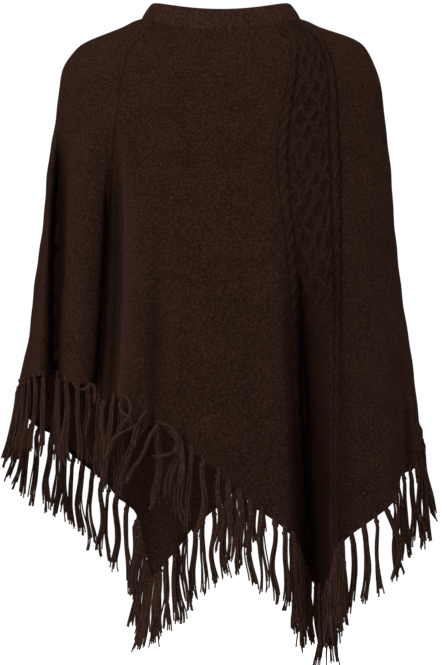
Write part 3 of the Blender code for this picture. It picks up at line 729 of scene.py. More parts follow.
@dataclass
class CableBand:
    """Trellis of diamonds between two rope cables, raised on the back panel."""

    width_mm: float = 88.0
    rows: int = 76
    rope_middles_mm: tuple[float, float] = (10.0, 80.0)
    trellis_start_mm: float = 22.0
    trellis_end_mm: float = 68.0
    trellis_columns: int = 9
    ridge_height: float = 0.0036
    ridge_half_width_mm: float = 4.7
    rope_reach_mm: float = 3.0
    strand_half_width_mm: float = 3.6
    bead_mm: float = 4.6
    repeat: int = 4
    fade_row: float = 34.0
    fade_rows: float = 16.0

    def ground(self, place_mm: float) -> Ground:
        """What is knitted at a place across the band."""
        if any(abs(place_mm - middle) < 7.0 for middle in self.rope_middles_mm):
            return Ground.ROPE
        inside = self.trellis_start_mm - 4.0 < place_mm < self.trellis_end_mm + 4.0
        return Ground.TRELLIS if inside else Ground.PLAIN

    def faded(self, row: Array, share: float) -> Array:
        """1 at the top of the band, less by the share where the trellis has run out into the fold."""
        return 1.0 - share * soft_step((row - self.fade_row) / self.fade_rows)

    def rope(self, from_middle_mm: float, row: Array) -> Array:
        """Height of two strands that wind round each other."""
        turn = math.pi * row / 2.0
        best = np.zeros_like(row)
        for side in (1.0, -1.0):
            reach = side * self.rope_reach_mm * np.cos(turn)
            inside = np.clip(1.0 - ((from_middle_mm - reach) / self.strand_half_width_mm) ** 2, 0.0, 1.0)
            lift = 2.8 + side * 1.2 * np.sin(turn)
            best = np.maximum(best, np.sqrt(inside) * lift)
        edge = math.exp(-((abs(from_middle_mm) - 6.6) / 0.9) ** 2)
        return (best - 0.9 * edge) / 1000.0

    def trellis(self, place_mm: float, row: Array, row_mm: float) -> Array:
        """Height of the crossing ridges."""
        pitch = (self.trellis_end_mm - self.trellis_start_mm) / self.trellis_columns
        number = (place_mm - self.trellis_start_mm) / pitch
        number = number + 0.30 * np.sin(0.83 * row + 0.9 * number) + 0.18 * np.sin(2.1 * row - 1.3 * number)
        fall, climb = (number + row) / self.repeat, (number - row) / self.repeat
        slope = math.hypot(1.0 / pitch, 1.0 / row_mm)
        heights = []
        for line in (fall, climb):
            distance = np.abs(line - np.round(line)) * self.repeat / slope
            heights.append(np.cos(np.clip(distance / self.ridge_half_width_mm, 0.0, 1.0) * math.pi / 2) ** 0.8)
        over = np.where((np.round(fall) - np.round(climb)) % 2 == 0, 1.0, -1.0)
        crossing = np.maximum(heights[0] * (1.0 + 0.18 * over), heights[1] * (1.0 - 0.18 * over))
        beads = 0.80 + 0.20 * np.cos(2.0 * math.pi * row * row_mm / self.bead_mm + 1.7 * number)
        crossing = crossing * beads
        edge = soft_step((place_mm - self.trellis_start_mm + 3.5) / 3.0)
        edge = edge * soft_step((self.trellis_end_mm + 3.5 - place_mm) / 3.0)
        return self.ridge_height * crossing * edge * self.faded(row, 0.85)

    def painted_shading(self, place_mm: float, row: Array, height: Array) -> Array:
        """Painted shade on the ground between the cables, darker where the ground lies lower."""
        if self.ground(place_mm) is Ground.PLAIN:
            return np.full_like(height, 0.20)
        full = 0.50 if self.ground(place_mm) is Ground.ROPE else 0.34
        return full * self.faded(row, 0.75) * (1.0 - np.clip(height / self.ridge_height, 0.0, 1.0)) ** 1.2

    def height(self, place_mm: float, row: Array, row_mm: float) -> Array:
        """Height of the pattern above the plain cloth.

        Args:
            place_mm: Place across the band.
            row: Rows down the band, with fractions.
            row_mm: Height of a row.

        Returns:
            One height for each row.
        """
        ground = self.ground(place_mm)
        if ground is Ground.ROPE:
            middle = min(self.rope_middles_mm, key=lambda value: abs(value - place_mm))
            return self.rope(place_mm - middle, row)
        if ground is Ground.TRELLIS:
            return self.trellis(place_mm, row, row_mm)
        return np.zeros_like(row)


@dataclass
class KnitPanel:
    """A knitted panel between two seams: a thin closed shell from the collar seam to the hem."""

    name: str
    first_seam: Rows
    second_seam: Rows
    turn: float
    across: int
    down: int
    flat: tuple[float, float]
    flat_area: float
    band: Optional[CableBand] = None
    band_across: int = 74
    thickness: float = 0.0026
    seam_dip: float = 0.0018
    seam_reach: float = 0.0022
    # Painted shade along the seams, where the cloth dips.
    seam_shade: float = 0.34
    inner_every: int = 3
    near_shares: tuple[float, ...] = (0.0, 0.003, 0.006, 0.010, 0.015, 0.022)

    def lines(self) -> list[tuple[ClothLine, Optional[float]]]:
        """Lines of the outer side, each with its place across the cable band where it is on it."""
        plain = self.band is None
        edge = self.second_seam if plain else SHOWN_BAND_EDGE
        inner = np.linspace(0.034, 0.966 if plain else 0.985, self.across)
        far = [1.0 - share for share in reversed(self.near_shares)] if plain else []
        lines = [
            (ClothLine(FINE_FORM, between(FINE_FORM, self.first_seam, edge, share, self.turn)), None)
            for share in (*self.near_shares, *inner, *far)
        ]
        if self.band is not None:
            for share in np.linspace(0.0, 1.0, self.band_across + 1):
                line = ClothLine(FINE_FORM, between(FINE_FORM, edge, self.second_seam, float(share)))
                lines.append((line, float(share) * self.band.width_mm))
        return lines

    def relief(self, line: ClothLine, place_mm: Optional[float], rows: Array) -> Array:
        """Height of the cables along a line."""
        if place_mm is None or self.band is None:
            return np.zeros_like(rows)
        share = rows * line.length / line.panel_length
        band_rows = np.clip(share, 0.0, 1.0) * self.band.rows
        row_mm = line.panel_length / self.band.rows * 1000.0
        ends = soft_step(band_rows / 0.8) * soft_step((self.band.rows - band_rows) / 0.8)
        return self.band.height(place_mm, band_rows, row_mm) * ends

    def waviness(self, points: Array) -> Array:
        """Slight unevenness of the cloth."""
        x, y, z = points[:, 0], points[:, 1], points[:, 2]
        return 0.0005 * (np.sin(71 * x + 33 * z + 1.0) + np.sin(57 * y - 41 * z) + 0.7 * np.sin(118 * z + 49 * x + 2.0))

    def build(self) -> bpy.types.Object:
        """Builds the panel as one object with its flat cloth coordinates."""
        lines = self.lines()
        rows = np.linspace(0.0, 1.0, self.down + 1)
        plain, normals, relief, painted_shading = [], [], [], []
        for line, place in lines:
            base, normal = line.surface(rows * line.length)
            plain.append(base)
            normals.append(normal)
            cables = self.relief(line, place, rows)
            # Painted shade of the creases, with the painted shade of the cable band's ground added on the band.
            shade = line.painted_shading(rows * line.length)
            if self.band is not None and place is not None and 2.0 < place < self.band.width_mm - 2.0:
                band_rows = rows * line.length / line.panel_length * self.band.rows
                shade = np.minimum(shade + self.band.painted_shading(place, band_rows, cables), 1.0)
            painted_shading.append(shade)
            relief.append(cables + self.waviness(base) * soft_step(rows * 8.0))
        plain_grid, inward = np.array(plain), -np.array(normals)
        outer_grid = plain_grid - inward * np.array(relief)[..., None]
        widths = np.linalg.norm(np.diff(plain_grid, axis=0), axis=2)
        across = np.concatenate([np.zeros((1, len(rows))), np.cumsum(widths, axis=0)])
        near_seam = np.exp(-((np.minimum(across, across[-1] - across) / self.seam_reach) ** 2))
        outer_grid = outer_grid + inward * (near_seam * self.seam_dip)[..., None]
        inner_columns = sorted(set(range(0, len(lines), self.inner_every)) | {len(lines) - 1})
        inner_rows = sorted(set(range(0, len(rows), self.inner_every)) | {len(rows) - 1})
        inner_grid = (plain_grid + inward * self.thickness)[np.ix_(inner_columns, inner_rows)]
        log.info("%s: widest %.3f, longest %.3f", self.name, across[-1].max(), max(line.length for line, _ in lines))
        downs = np.array([rows * line.length for line, _ in lines])
        flat_grid = np.stack([across - across[len(lines) // 2], -downs], axis=-1)
        piece = self.assemble(outer_grid, inner_grid, flat_grid, inner_columns, inner_rows)
        # Painted shading per point: shade of the creases, cable ground and seams, and highlight on the ridges.
        layer = piece.data.attributes.new("painted_shading", "FLOAT", "POINT")
        shade = np.zeros(len(piece.data.vertices), dtype=np.float32)
        shade[:outer_grid.shape[0] * outer_grid.shape[1]] = (np.array(painted_shading) + self.seam_shade * near_seam).ravel()
        layer.data.foreach_set("value", shade)
        return piece

    def assemble(
        self, outer: Array, inner: Array, flat: Array, inner_columns: list[int], inner_rows: list[int]
    ) -> bpy.types.Object:
        """Joins the outer and inner side with rims to a closed shell.

        Args:
            outer: Grid of points of the outer side.
            inner: Coarser grid of points of the inner side.
            flat: For each point of the outer side its place on the flat cloth.
            inner_columns: Columns of the outer grid that the inner one has.
            inner_rows: Rows of the outer grid that the inner one has.

        Returns:
            The shell as one object.
        """
        columns, rows = outer.shape[:2]
        number = np.arange(columns * rows).reshape(columns, rows)
        inner_number = np.arange(inner.shape[0] * inner.shape[1]).reshape(inner.shape[:2]) + number.size
        faces = grid_faces(number) + [face[:1] + face[:0:-1] for face in grid_faces(inner_number)]
        for end in (0, -1):
            side = zip_chains(list(enumerate(number[end])), list(zip(inner_rows, inner_number[end])))
            edge = zip_chains(list(enumerate(number[:, end])), list(zip(inner_columns, inner_number[:, end])))
            for rim, flipped in ((side, end == 0), (edge, end == -1)):
                faces += [face[::-1] for face in rim] if flipped else rim
        points = np.concatenate([outer.reshape(-1, 3), inner.reshape(-1, 3)])
        flats = np.concatenate([flat.reshape(-1, 2), flat[np.ix_(inner_columns, inner_rows)].reshape(-1, 2)])
        return make_object(self.name + "_cloth", points, faces, flats)


@dataclass
class RibCollar:
    """Ribbed band that stands on the neck edge of the panels."""

    ribs: int = 76
    steps_per_rib: int = 12
    rib_height: float = 0.0019
    wall: float = 0.0030
    top_half_width: float = 0.0965
    top_back_depth: float = 0.064
    top_front_depth: float = 0.083
    top_side_height: float = 0.0238
    top_back_height: float = 0.0085
    top_front_height: float = -0.034
    flat: tuple[float, float] = (0.62, 0.036)
    flat_area: float = 0.0205

    def edge(self, angle: Array, top: bool) -> Array:
        """Points of the middle of the wall at the bottom or the top edge."""
        if not top:
            return FINE_FORM.plain_point(angle, np.zeros_like(angle)) - np.array([0.0, 0.0, 0.0022])
        across, along = np.sin(np.radians(angle)), -np.cos(np.radians(angle))
        depth = np.where(along < 0, self.top_back_depth, self.top_front_depth)
        end = np.where(along < 0, self.top_back_height, self.top_front_height)
        return np.stack([
            across * self.top_half_width, along * depth, self.top_side_height * across ** 2 + end * along ** 2,
        ], axis=-1)

    def section(self) -> list[tuple[float, float, float]]:
        """The closed section of the wall: share of the height, offset outwards and share of the rib height."""
        rows = [(0.0, 0.0, 0.7), (0.02, 0.0, 1.0)]
        rows += [(float(share), 0.0, 1.0) for share in np.linspace(0.08, 0.88, 11)]
        rows += [(0.93, 0.0, 0.95), (0.965, -0.0002, 0.7), (0.99, -0.0008, 0.4), (1.0, -0.0015, 0.1)]
        rows += [(0.99, -0.0023, 0.0), (0.96, -0.0028, 0.0), (0.90, -0.0030, 0.0)]
        rows += [(float(share), -0.0030, -1.0) for share in np.linspace(0.8, 0.1, 8)]
        rows += [(0.0, -0.0030, -0.5)]
        return rows

    def build(self) -> bpy.types.Object:
        """Builds the collar as one object with its flat cloth coordinates."""
        count = self.ribs * self.steps_per_rib
        number = np.arange(count)
        angle = 360.0 * number / count
        bottom, top = self.edge(angle, False), self.edge(angle, True)
        outward = FINE_FORM.outward(angle, np.zeros_like(angle))
        perimeter = float(np.linalg.norm(np.roll(bottom, -1, axis=0) - bottom, axis=1).sum())
        rings, flats = [], []
        for height, offset, rib_share in self.section():
            slant = 0.25 * math.sin(2.2 * height) * np.cos(np.radians(angle) * 2 + 0.6)
            phase = number / self.steps_per_rib + slant
            uneven = 1.0 + 0.18 * np.sin(angle * 0.13 + 1.0) + 0.12 * np.sin(np.floor(phase) * 2.4)
            rib = (0.5 - 0.5 * np.cos(2 * math.pi * phase)) ** 0.7 * self.rib_height * uneven
            bulge = 0.0016 * math.sin(math.pi * height)
            raised = rib * rib_share + bulge + offset
            rings.append(bottom + (top - bottom) * height + outward * raised[:, None])
            flats.append(np.stack([perimeter * number / count, np.full(count, self.flat[1] * height)], axis=-1))
        grid = np.array(rings)
        rows = len(rings)
        index = np.arange(rows * count).reshape(rows, count)
        after = np.roll(index, -1, axis=1)
        below, below_after = np.roll(index, -1, axis=0), np.roll(after, -1, axis=0)
        faces = np.stack([index, after, below_after, below], axis=-1).reshape(-1, 4)
        piece = make_object("collar_cloth", grid.reshape(-1, 3), faces, np.array(flats).reshape(-1, 2))
        self.close_flat(piece, perimeter)
        return piece

    @staticmethod
    def close_flat(piece: bpy.types.Object, perimeter: float) -> None:
        """Carries the flat coordinates over the place where the ring closes."""
        layer = piece.data.uv_layers["cloth"]
        values = np.empty(len(layer.data) * 2, dtype=np.float32)
        layer.data.foreach_get("uv", values)
        corners = values.reshape(-1, 4, 2)
        split = (corners[..., 0].max(axis=1) - corners[..., 0].min(axis=1)) > perimeter / 2
        late = split[:, None] & (corners[..., 0] < perimeter / 2)
        corners[..., 0][late] += perimeter
        layer.data.foreach_set("uv", corners.ravel())


@dataclass
class Lock:
    """One lock of yarn: the way of its middle, its directions and its widths."""

    points: Array
    side: Array
    out: Array
    half_width: Array
    half_depth: Array
    twist: float

    @classmethod
    def tied(cls, root: Array, way: Array, side: Array, out: Array, half_width: Array, twist: float) -> "Lock":
        """A lock that starts flat on the cloth, a little above its root.

        Args:
            root: Place of the root.
            way: Points of the middle below the root.
            side: Direction to the side.
            out: Direction outwards.
            half_width: Half width at each point of the way.
            twist: How far the yarns wind round each other, as an angle.

        Returns:
            The lock.
        """
        above = root + out * 0.0022 - DOWN * 0.0065
        half_width = np.concatenate([[0.0022], half_width])
        half_depth = np.minimum(half_width * 0.62, 0.0030)
        half_depth[:2] = 0.0008
        return cls(np.concatenate([above[None], way]), side, out, half_width, half_depth, twist)


# Locks that were pulled aside: angle of the root, and the way from there in millimetres: right, outwards, down.
PULLED_LOCKS: tuple[tuple[float, Rows], ...] = (
    (-24.0, ((-9, 9, 15), (-22, 11, 28), (-34, 11, 50), (-39, 10, 80), (-41, 8, 112))),
    (-20.0, ((-8, 17, 14), (-19, 19, 34), (-29, 19, 56), (-36, 18, 82), (-40, 17, 108))),
    (-16.0, ((8, 9, 6), (15, 11, 14), (17, 11, 27), (10, 11, 42), (1, 9, 66), (-2, 8, 98))),
    (47.0, ((9, 6, 24), (17, 7, 46), (20, 7, 62), (12, 7, 86), (6, 7, 105))),
)


# Locks on the steep edges of the two low points: angle of the root, length, lean to the right at the tip.
POINT_LOCKS: Rows = (
    (19.0, 0.112, 0.004), (21.3, 0.116, -0.004), (22.4, 0.112, 0.006), (23.4, 0.108, 0.000), (24.4, 0.106, 0.008),
    (25.3, 0.098, -0.002), (26.2, 0.092, 0.004), (26.9, 0.086, 0.002), (27.6, 0.082, 0.006), (28.2, 0.088, -0.004),
    (28.8, 0.100, 0.002), (29.4, 0.110, -0.002), (30.1, 0.116, 0.003), (31.4, 0.112, -0.003),
    (193.5, 0.112, 0.002), (195.6, 0.108, -0.005), (197.2, 0.112, -0.002), (198.4, 0.114, -0.012),
    (199.4, 0.118, -0.020), (200.2, 0.122, -0.028), (200.9, 0.120, -0.018), (201.7, 0.118, -0.022),
    (202.6, 0.114, -0.010), (203.6, 0.116, -0.014),
)
# Tangled strands beside the pulled locks, as seen from the back: distance in front of the cloth, half width of the
# bundle, then its way across and down, in metres.
TANGLES: tuple[tuple[float, float, Rows], ...] = (
    (0.006, 0.0030, ((-0.1455, -0.526), (-0.1480, -0.548), (-0.1510, -0.575), (-0.1570, -0.604))),
    (0.010, 0.0016, ((-0.1350, -0.528), (-0.1270, -0.531), (-0.1225, -0.541), (-0.1240, -0.556), (-0.1320, -0.566),
                     (-0.1380, -0.574), (-0.1420, -0.586))),
    (0.009, 0.0016, ((-0.1310, -0.531), (-0.1370, -0.540), (-0.1330, -0.551), (-0.1250, -0.555), (-0.1180, -0.566))),
    (0.012, 0.0028, ((-0.1015, -0.549), (-0.1100, -0.562), (-0.1160, -0.578), (-0.1205, -0.604))),
    (0.014, 0.0024, ((-0.1120, -0.566), (-0.1250, -0.574), (-0.1380, -0.580), (-0.1480, -0.590), (-0.1570, -0.622))),
    (0.018, 0.0026, ((-0.0830, -0.563), (-0.0950, -0.583), (-0.1080, -0.612), (-0.1200, -0.628), (-0.1300, -0.655))),
    (0.016, 0.0024, ((-0.0870, -0.563), (-0.0720, -0.567), (-0.0620, -0.574), (-0.0570, -0.588), (-0.0620, -0.602),
                     (-0.0760, -0.609), (-0.0960, -0.608))),
    (0.012, 0.0030, ((-0.0560, -0.582), (-0.0530, -0.600), (-0.0520, -0.622), (-0.0545, -0.655))),
    (0.008, 0.0016, ((-0.2020, -0.512), (-0.1950, -0.520), (-0.1860, -0.520), (-0.1760, -0.513), (-0.1720, -0.519),
                     (-0.1730, -0.545))),
)


# Points along the middle of a lock.
LOCK_STEPS = 18


def curled(size: float, share: Array, mood: random.Random) -> Array:
    """How far a lock curls to the side at shares of its length."""
    return size * np.sin(share * mood.uniform(3.0, 8.0) + mood.uniform(0.0, 6.0)) * share ** 0.7


class YarnTree(NodeKit):
    """Geometry Nodes tree that spins locks of yarn along guide lines and ties a knot at each root."""

    INPUTS = (
        ("Geometry", "Geometry"), ("Yarns", "Int"), ("Yarn radius", "Float"), ("Waviness", "Float"),
        ("Wave scale", "Float"), ("Shortest", "Float"), ("Knot radius", "Float"), ("Seed", "Int"), ("Wool", "Material"),
    )

    def __init__(self) -> None:
        """Builds the tree."""
        super().__init__(bpy.data.node_groups.new("yarn_locks", "GeometryNodeTree"))
        self.sockets = {
            name: self.tree.interface.new_socket(name, in_out="INPUT", socket_type="NodeSocket" + kind).identifier
            for name, kind in self.INPUTS
        }
        self.tree.interface.new_socket("Geometry", in_out="OUTPUT", socket_type="NodeSocketGeometry")
        self.entry = self.node("NodeGroupInput")
        self.wire()

    def scaled(self, vector: bpy.types.NodeSocket, factor) -> bpy.types.NodeSocket:
        """A vector times a number."""
        return self.made("ShaderNodeVectorMath", {"Vector": vector, "Scale": factor}, operation="SCALE")

    def added(self, first: bpy.types.NodeSocket, second) -> bpy.types.NodeSocket:
        """The sum of two vectors."""
        node = self.node("ShaderNodeVectorMath", operation="ADD")
        self.join(first, node.inputs[0])
        self.join(second, node.inputs[1])
        return node.outputs[0]

    def attribute(self, name: str, kind: str = "FLOAT") -> bpy.types.NodeSocket:
        """A named attribute of the guide lines."""
        return self.made("GeometryNodeInputNamedAttribute", {"Name": name}, data_type=kind)

    def dice(self, low: float, high: float, number: bpy.types.NodeSocket, shift: int) -> bpy.types.NodeSocket:
        """A random number for each yarn."""
        seed = self.math("ADD", self.entry.outputs["Seed"], float(shift))
        values = {"Min": low, "Max": high, "ID": number, "Seed": seed}
        return self.made("FunctionNodeRandomValue", values, data_type="FLOAT")

    def offset(self, number: bpy.types.NodeSocket, share: bpy.types.NodeSocket) -> bpy.types.NodeSocket:
        """How far the points of a yarn lie from the middle of its lock.

        Args:
            number: Number of the yarn.
            share: Share of the way along it.

        Returns:
            The distance as a vector.
        """
        turned = self.math("MULTIPLY", self.attribute("twist"), share)
        angle = self.math("ADD", self.dice(0.0, 2.0 * math.pi, number, 1), turned)
        reach = self.math("SQRT", self.dice(0.05, 1.0, number, 2))
        parts = []
        for turn, size, direction in (("COSINE", "half_width", "side"), ("SINE", "half_depth", "out")):
            distance = self.math("MULTIPLY", self.math("MULTIPLY", self.math(turn, angle), reach), self.attribute(size))
            parts.append(self.scaled(self.attribute(direction, "FLOAT_VECTOR"), distance))
        noise = self.made("ShaderNodeTexNoise", {
            "Vector": self.node("GeometryNodeInputPosition").outputs[0],
            "W": self.math("MULTIPLY", number, 0.61),
            "Scale": self.entry.outputs["Wave scale"],
            "Detail": 1.0,
        }, noise_dimensions="4D").node
        centred = self.added(noise.outputs["Color"], (-0.5, -0.5, -0.5))
        wave = self.math("MULTIPLY", self.entry.outputs["Waviness"], self.math("POWER", share, 0.8))
        return self.added(self.added(*parts), self.scaled(centred, wave))

    def wire(self) -> None:
        """Wires the tree from the guide lines to the finished yarns."""
        entry = self.entry.outputs
        guide = entry["Geometry"]
        lines = self.made("GeometryNodeMeshToCurve", {"Mesh": guide})
        copies = self.made(
            "GeometryNodeDuplicateElements", {"Geometry": lines, "Amount": entry["Yarns"]}, domain="SPLINE",
        )
        index = self.node("GeometryNodeInputIndex").outputs[0]
        number = self.made("GeometryNodeFieldOnDomain", {"Value": index}, domain="CURVE", data_type="INT")
        share = self.node("GeometryNodeSplineParameter").outputs["Factor"]
        moved = self.made("GeometryNodeSetPosition", {"Geometry": copies, "Offset": self.offset(number, share)})
        length = self.math("MINIMUM", self.math("ADD", entry["Shortest"], self.dice(0.0, 0.16, number, 3)), 1.0)
        cut = self.made("GeometryNodeTrimCurve", {"Curve": moved, "End": length}, mode="FACTOR")
        sized = self.made("GeometryNodeSetCurveRadius", {"Curve": cut, "Radius": self.dice(0.8, 1.2, number, 4)})
        joined = self.node("GeometryNodeJoinGeometry")
        for part in (self.knots(guide), self.rope(sized, 5, entry["Yarn radius"])):
            self.join(part, joined.inputs[0])
        finished = joined.outputs[0]
        for kind in ("GeometryNodeRealizeInstances", "GeometryNodeSetShadeSmooth"):
            finished = self.made(kind, {"Geometry": finished})
        dressed = self.made("GeometryNodeSetMaterial", {"Geometry": finished, "Material": entry["Wool"]})
        self.join(dressed, self.node("NodeGroupOutput").inputs[0])

    def rope(self, curve: bpy.types.NodeSocket, corners: int, radius: bpy.types.NodeSocket) -> bpy.types.NodeSocket:
        """A round rope along a curve, with places along and around it for the material."""
        circle = self.made("GeometryNodeCurvePrimitiveCircle", {"Resolution": corners, "Radius": radius})
        return self.made("GeometryNodeCurveToMesh", {
            "Curve": self.store(curve, "along", "Length"),
            "Profile Curve": self.store(circle, "around", "Factor"),
            "Fill Caps": True,
        })

    def store(self, geometry: bpy.types.NodeSocket, name: str, measure: str) -> bpy.types.NodeSocket:
        """Stores a measure of the spline under a name."""
        value = self.node("GeometryNodeSplineParameter").outputs[measure]
        inputs = {"Geometry": geometry, "Name": name, "Value": value}
        return self.made("GeometryNodeStoreNamedAttribute", inputs, data_type="FLOAT", domain="POINT")

    def knots(self, guide: bpy.types.NodeSocket) -> bpy.types.NodeSocket:
        """A knot of two turns round each root."""
        radius = self.entry.outputs["Knot radius"]
        knotted = self.attribute("is_knot", "BOOLEAN")
        spots = self.made("GeometryNodeMeshToPoints", {"Mesh": guide, "Selection": knotted})
        coil = self.made("GeometryNodeCurveSpiral", {
            "Resolution": 10, "Rotations": 2.0, "Height": 0.0030, "Start Radius": radius, "End Radius": radius,
        })
        rope = self.rope(coil, 6, self.math("MULTIPLY", self.entry.outputs["Yarn radius"], 1.2))
        side = self.attribute("side", "FLOAT_VECTOR")
        turned = self.made("FunctionNodeAlignRotationToVector", {"Vector": side}, axis="X", pivot_axis="Z")
        inputs = {"Points": spots, "Instance": rope, "Rotation": turned, "Scale": (1.0, 0.72, 1.0)}
        return self.made("GeometryNodeInstanceOnPoints", inputs)


@dataclass
class YarnFringe:
    """Knotted locks of yarn along the hem of one panel."""

    name: str
    first_seam: Rows
    second_seam: Rows
    turn: float
    steps: Rows
    with_band: bool = False
    spacing: float = 0.0150
    root_width: float = 0.0050
    lock_length: float = 0.118
    length_spread: float = 0.006
    sway: float = 0.003
    lean: float = 0.007
    shift: float = 0.008
    yarns: int = 11
    yarn_radius: float = 0.00115
    seam_gap: float = 0.00015
    places_mm: tuple[float, ...] = (
        0.0, 6.5, 10.0, 13.5, 17.0, 22.0, 27.1, 32.2, 37.3, 42.4, 47.6, 52.7, 57.8, 62.9, 68.0, 73.0, 76.5, 80.0,
        83.5, 88.0,
    )

    def solid_lines(self) -> list[ClothLine]:
        """The lines of the solid panel, from which the places of the locks follow."""
        shares = [0.0]
        for start, end, count in self.steps:
            shares += [start + (end - start) * number / count for number in range(1, int(count) + 1)]
        edge = BAND_LEFT_EDGE if self.with_band else self.second_seam
        ways = [(self.first_seam, edge, share, self.turn) for share in shares]
        if self.with_band:
            ways.pop()
            ways += [(edge, self.second_seam, place / self.places_mm[-1], 0.0) for place in self.places_mm]
        lines = []
        for number, (first, second, share, turn) in enumerate(ways):
            gap = {0: self.seam_gap, len(ways) - 1: -self.seam_gap}.get(number, 0.0)
            lines.append(ClothLine(SOLID_FORM, between(SOLID_FORM, first, second, share, turn, gap)))
        return lines

    def roots(self, dice: random.Random) -> list[tuple[float, float, Array, float, float]]:
        """Places of the locks: angle, level, middle point, rise of the hem and its steepness.

        Args:
            dice: Source of the random steps, shared by the four fringes.

        Returns:
            One entry for each lock.
        """
        edges = []
        for line in self.solid_lines():
            edge, normal = line.surface(np.array([line.length]))
            bottom = np.concatenate([edge, edge - normal * WALL])
            edges.append((float(line.angle_at(line.levels[-1:])[0]), float(line.levels[-1]), bottom))
        roots = []
        run = self.spacing * 0.35
        for index, (one, two) in enumerate(zip(edges, edges[1:])):
            step = two[2][0] - one[2][0]
            width, plan = float(np.linalg.norm(step)), math.hypot(step[0], step[1])
            first, last = edges[max(index - 2, 0)][2][0], edges[min(index + 3, len(edges) - 1)][2][0]
            steepness = abs(last[2] - first[2]) / float(np.linalg.norm(last - first))
            rise = float(step[2]) / width
            if width < 1.35 * self.root_width:
                if run <= 0.0 and width > 0.6 * self.root_width:
                    middle = (one[2].mean(axis=0) + two[2].mean(axis=0)) / 2
                    roots.append((one[0], one[1], middle, rise, steepness))
                    run = self.spacing * dice.uniform(0.92, 1.08)
                run -= plan
                continue
            place, root = 0.0, self.root_width / width
            while place + max(run, 0.0) / plan + root < 0.97:
                start = place + max(run, 0.0) / plan
                start = 0.0 if start < 0.03 else start
                share = start + root / 2
                middle = (one[2] + (two[2] - one[2]) * share).mean(axis=0)
                roots.append((one[0] + (two[0] - one[0]) * start, one[1], middle, rise, steepness))
                place = start + root
                run = self.spacing * dice.uniform(0.92, 1.08) - root * plan
            run -= (1.0 - place) * plan
        return roots

    def directions(self, angle: float, level: float) -> tuple[Array, Array]:
        """Directions outwards and sideways at a root."""
        out = FINE_FORM.outward(np.array([angle]), np.array([level]))[0]
        return out, np.array([-out[1], out[0], 0.0])

    def seat(self, angle: float, level: float, middle: Array) -> Array:
        """The root moved onto the finely folded cloth."""
        spot, low = np.array([angle]), np.array([level])
        return middle + (FINE_FORM.cloth_point(spot, low) - SOLID_FORM.cloth_point(spot, low))[0]

    def locks(self, dice: random.Random) -> list[Lock]:
        """All locks of the fringe."""
        roots = self.roots(dice)
        pulled = {}
        for angle, way in PULLED_LOCKS:
            nearest = min((root[0] for root in roots), key=lambda place: abs(place - angle))
            if abs(nearest - angle) < 4.0:
                pulled[nearest] = way
        result = []
        share = np.linspace(0.0, 1.0, LOCK_STEPS)
        for angle, level, middle, rise, steepness in roots:
            length = self.lock_length + dice.uniform(-1.0, 1.0) * self.length_spread
            sway = self.sway * math.sin(angle * 0.35) + dice.uniform(-0.001, 0.001)
            out, side = self.directions(angle, level)
            start = self.seat(angle, level, middle)
            mood = random.Random(int(angle * 1000) + 7)
            if angle in pulled:
                way = smooth_way(np.array([(0.0, 0.0, 0.0), *pulled[angle]]) / 1000.0, share)
                width = 0.0038 + 0.0022 * share
            else:
                flare = float(smooth_table(FLARE, wrapped(np.array([angle])))[0])
                lean = self.lean * min(max((steepness - 0.3) / 0.4, 0.0), 1.0)
                shift = math.copysign(self.shift, rise) * min(max((abs(rise) - 0.75) / 0.15, 0.0), 1.0)
                early = soft_step(share / 0.12)
                curl = curled(0.0052, share, mood)
                way = np.stack([
                    shift * early + sway * share ** 2 + curl,
                    0.0012 + lean * early + flare * share ** 2.2 + 0.5 * curl[::-1] * share,
                    length * share,
                ], axis=-1)
                width = mood.uniform(0.0026, 0.0040) + mood.uniform(0.0006, 0.0042) * share ** 0.7
                width = width + mood.uniform(0.0, 0.0058) * share ** 4
            points = start + way[:, :1] * side + way[:, 1:2] * out + way[:, 2:] * DOWN
            result.append(Lock.tied(start, points, side, out, width, mood.uniform(-3.0, 3.0)))
        return result

    def point_locks(self) -> list[Lock]:
        """Locks on the steep edges of the low points."""
        first = float(self.first_seam[-1][1])
        last = float(self.second_seam[-1][1]) + self.turn
        result = []
        share = np.linspace(0.0, 1.0, LOCK_STEPS)
        for angle, length, lean in POINT_LOCKS:
            if not first < angle < last:
                continue
            line = ClothLine(FINE_FORM, lambda level, at=angle: np.full_like(level, at))
            edge, normal = line.surface(np.array([line.length]))
            out, side = self.directions(angle, float(line.levels[-1]))
            mood = random.Random(int(angle * 10))
            across = (lean * share ** 1.5 + curled(0.0035, share, mood)) * (1.0 if side[0] > 0 else -1.0)
            start = edge[0] - normal[0] * WALL / 2
            points = start + across[:, None] * side + (0.002 + 0.004 * share)[:, None] * out
            points[:, 2] -= length * share
            result.append(Lock.tied(start, points, side, out, 0.0032 + 0.0030 * share, mood.uniform(-3.0, 3.0)))
        return result

    def tangles(self) -> list[Lock]:
        """Tangled strands and loops beside the pulled locks."""
        result = []
        out, side = np.array([0.0, -1.0, 0.0]), np.array([1.0, 0.0, 0.0])
        for ahead, half_width, way in TANGLES:
            share = np.linspace(0.0, 1.0, 24)
            across, height = smooth_way(np.array(way), share).T
            level = np.interp(-height, -np.array(PROFILE)[:, 0], np.arange(LAST_LEVEL + 1))
            left = FINE_FORM.ring(level)[2]
            angle = -np.degrees(np.arcsin(np.clip(-across / left, 0.0, 0.97)))
            surface = FINE_FORM.plain_point(angle, level)[:, 1]
            points = np.stack([across, surface - ahead * soft_step(share * 4.0 + 0.3), height], axis=-1)
            width = half_width * (0.7 + 0.6 * share)
            result.append(Lock(points, side, out, width, width * 0.6, 2.5))
        return result

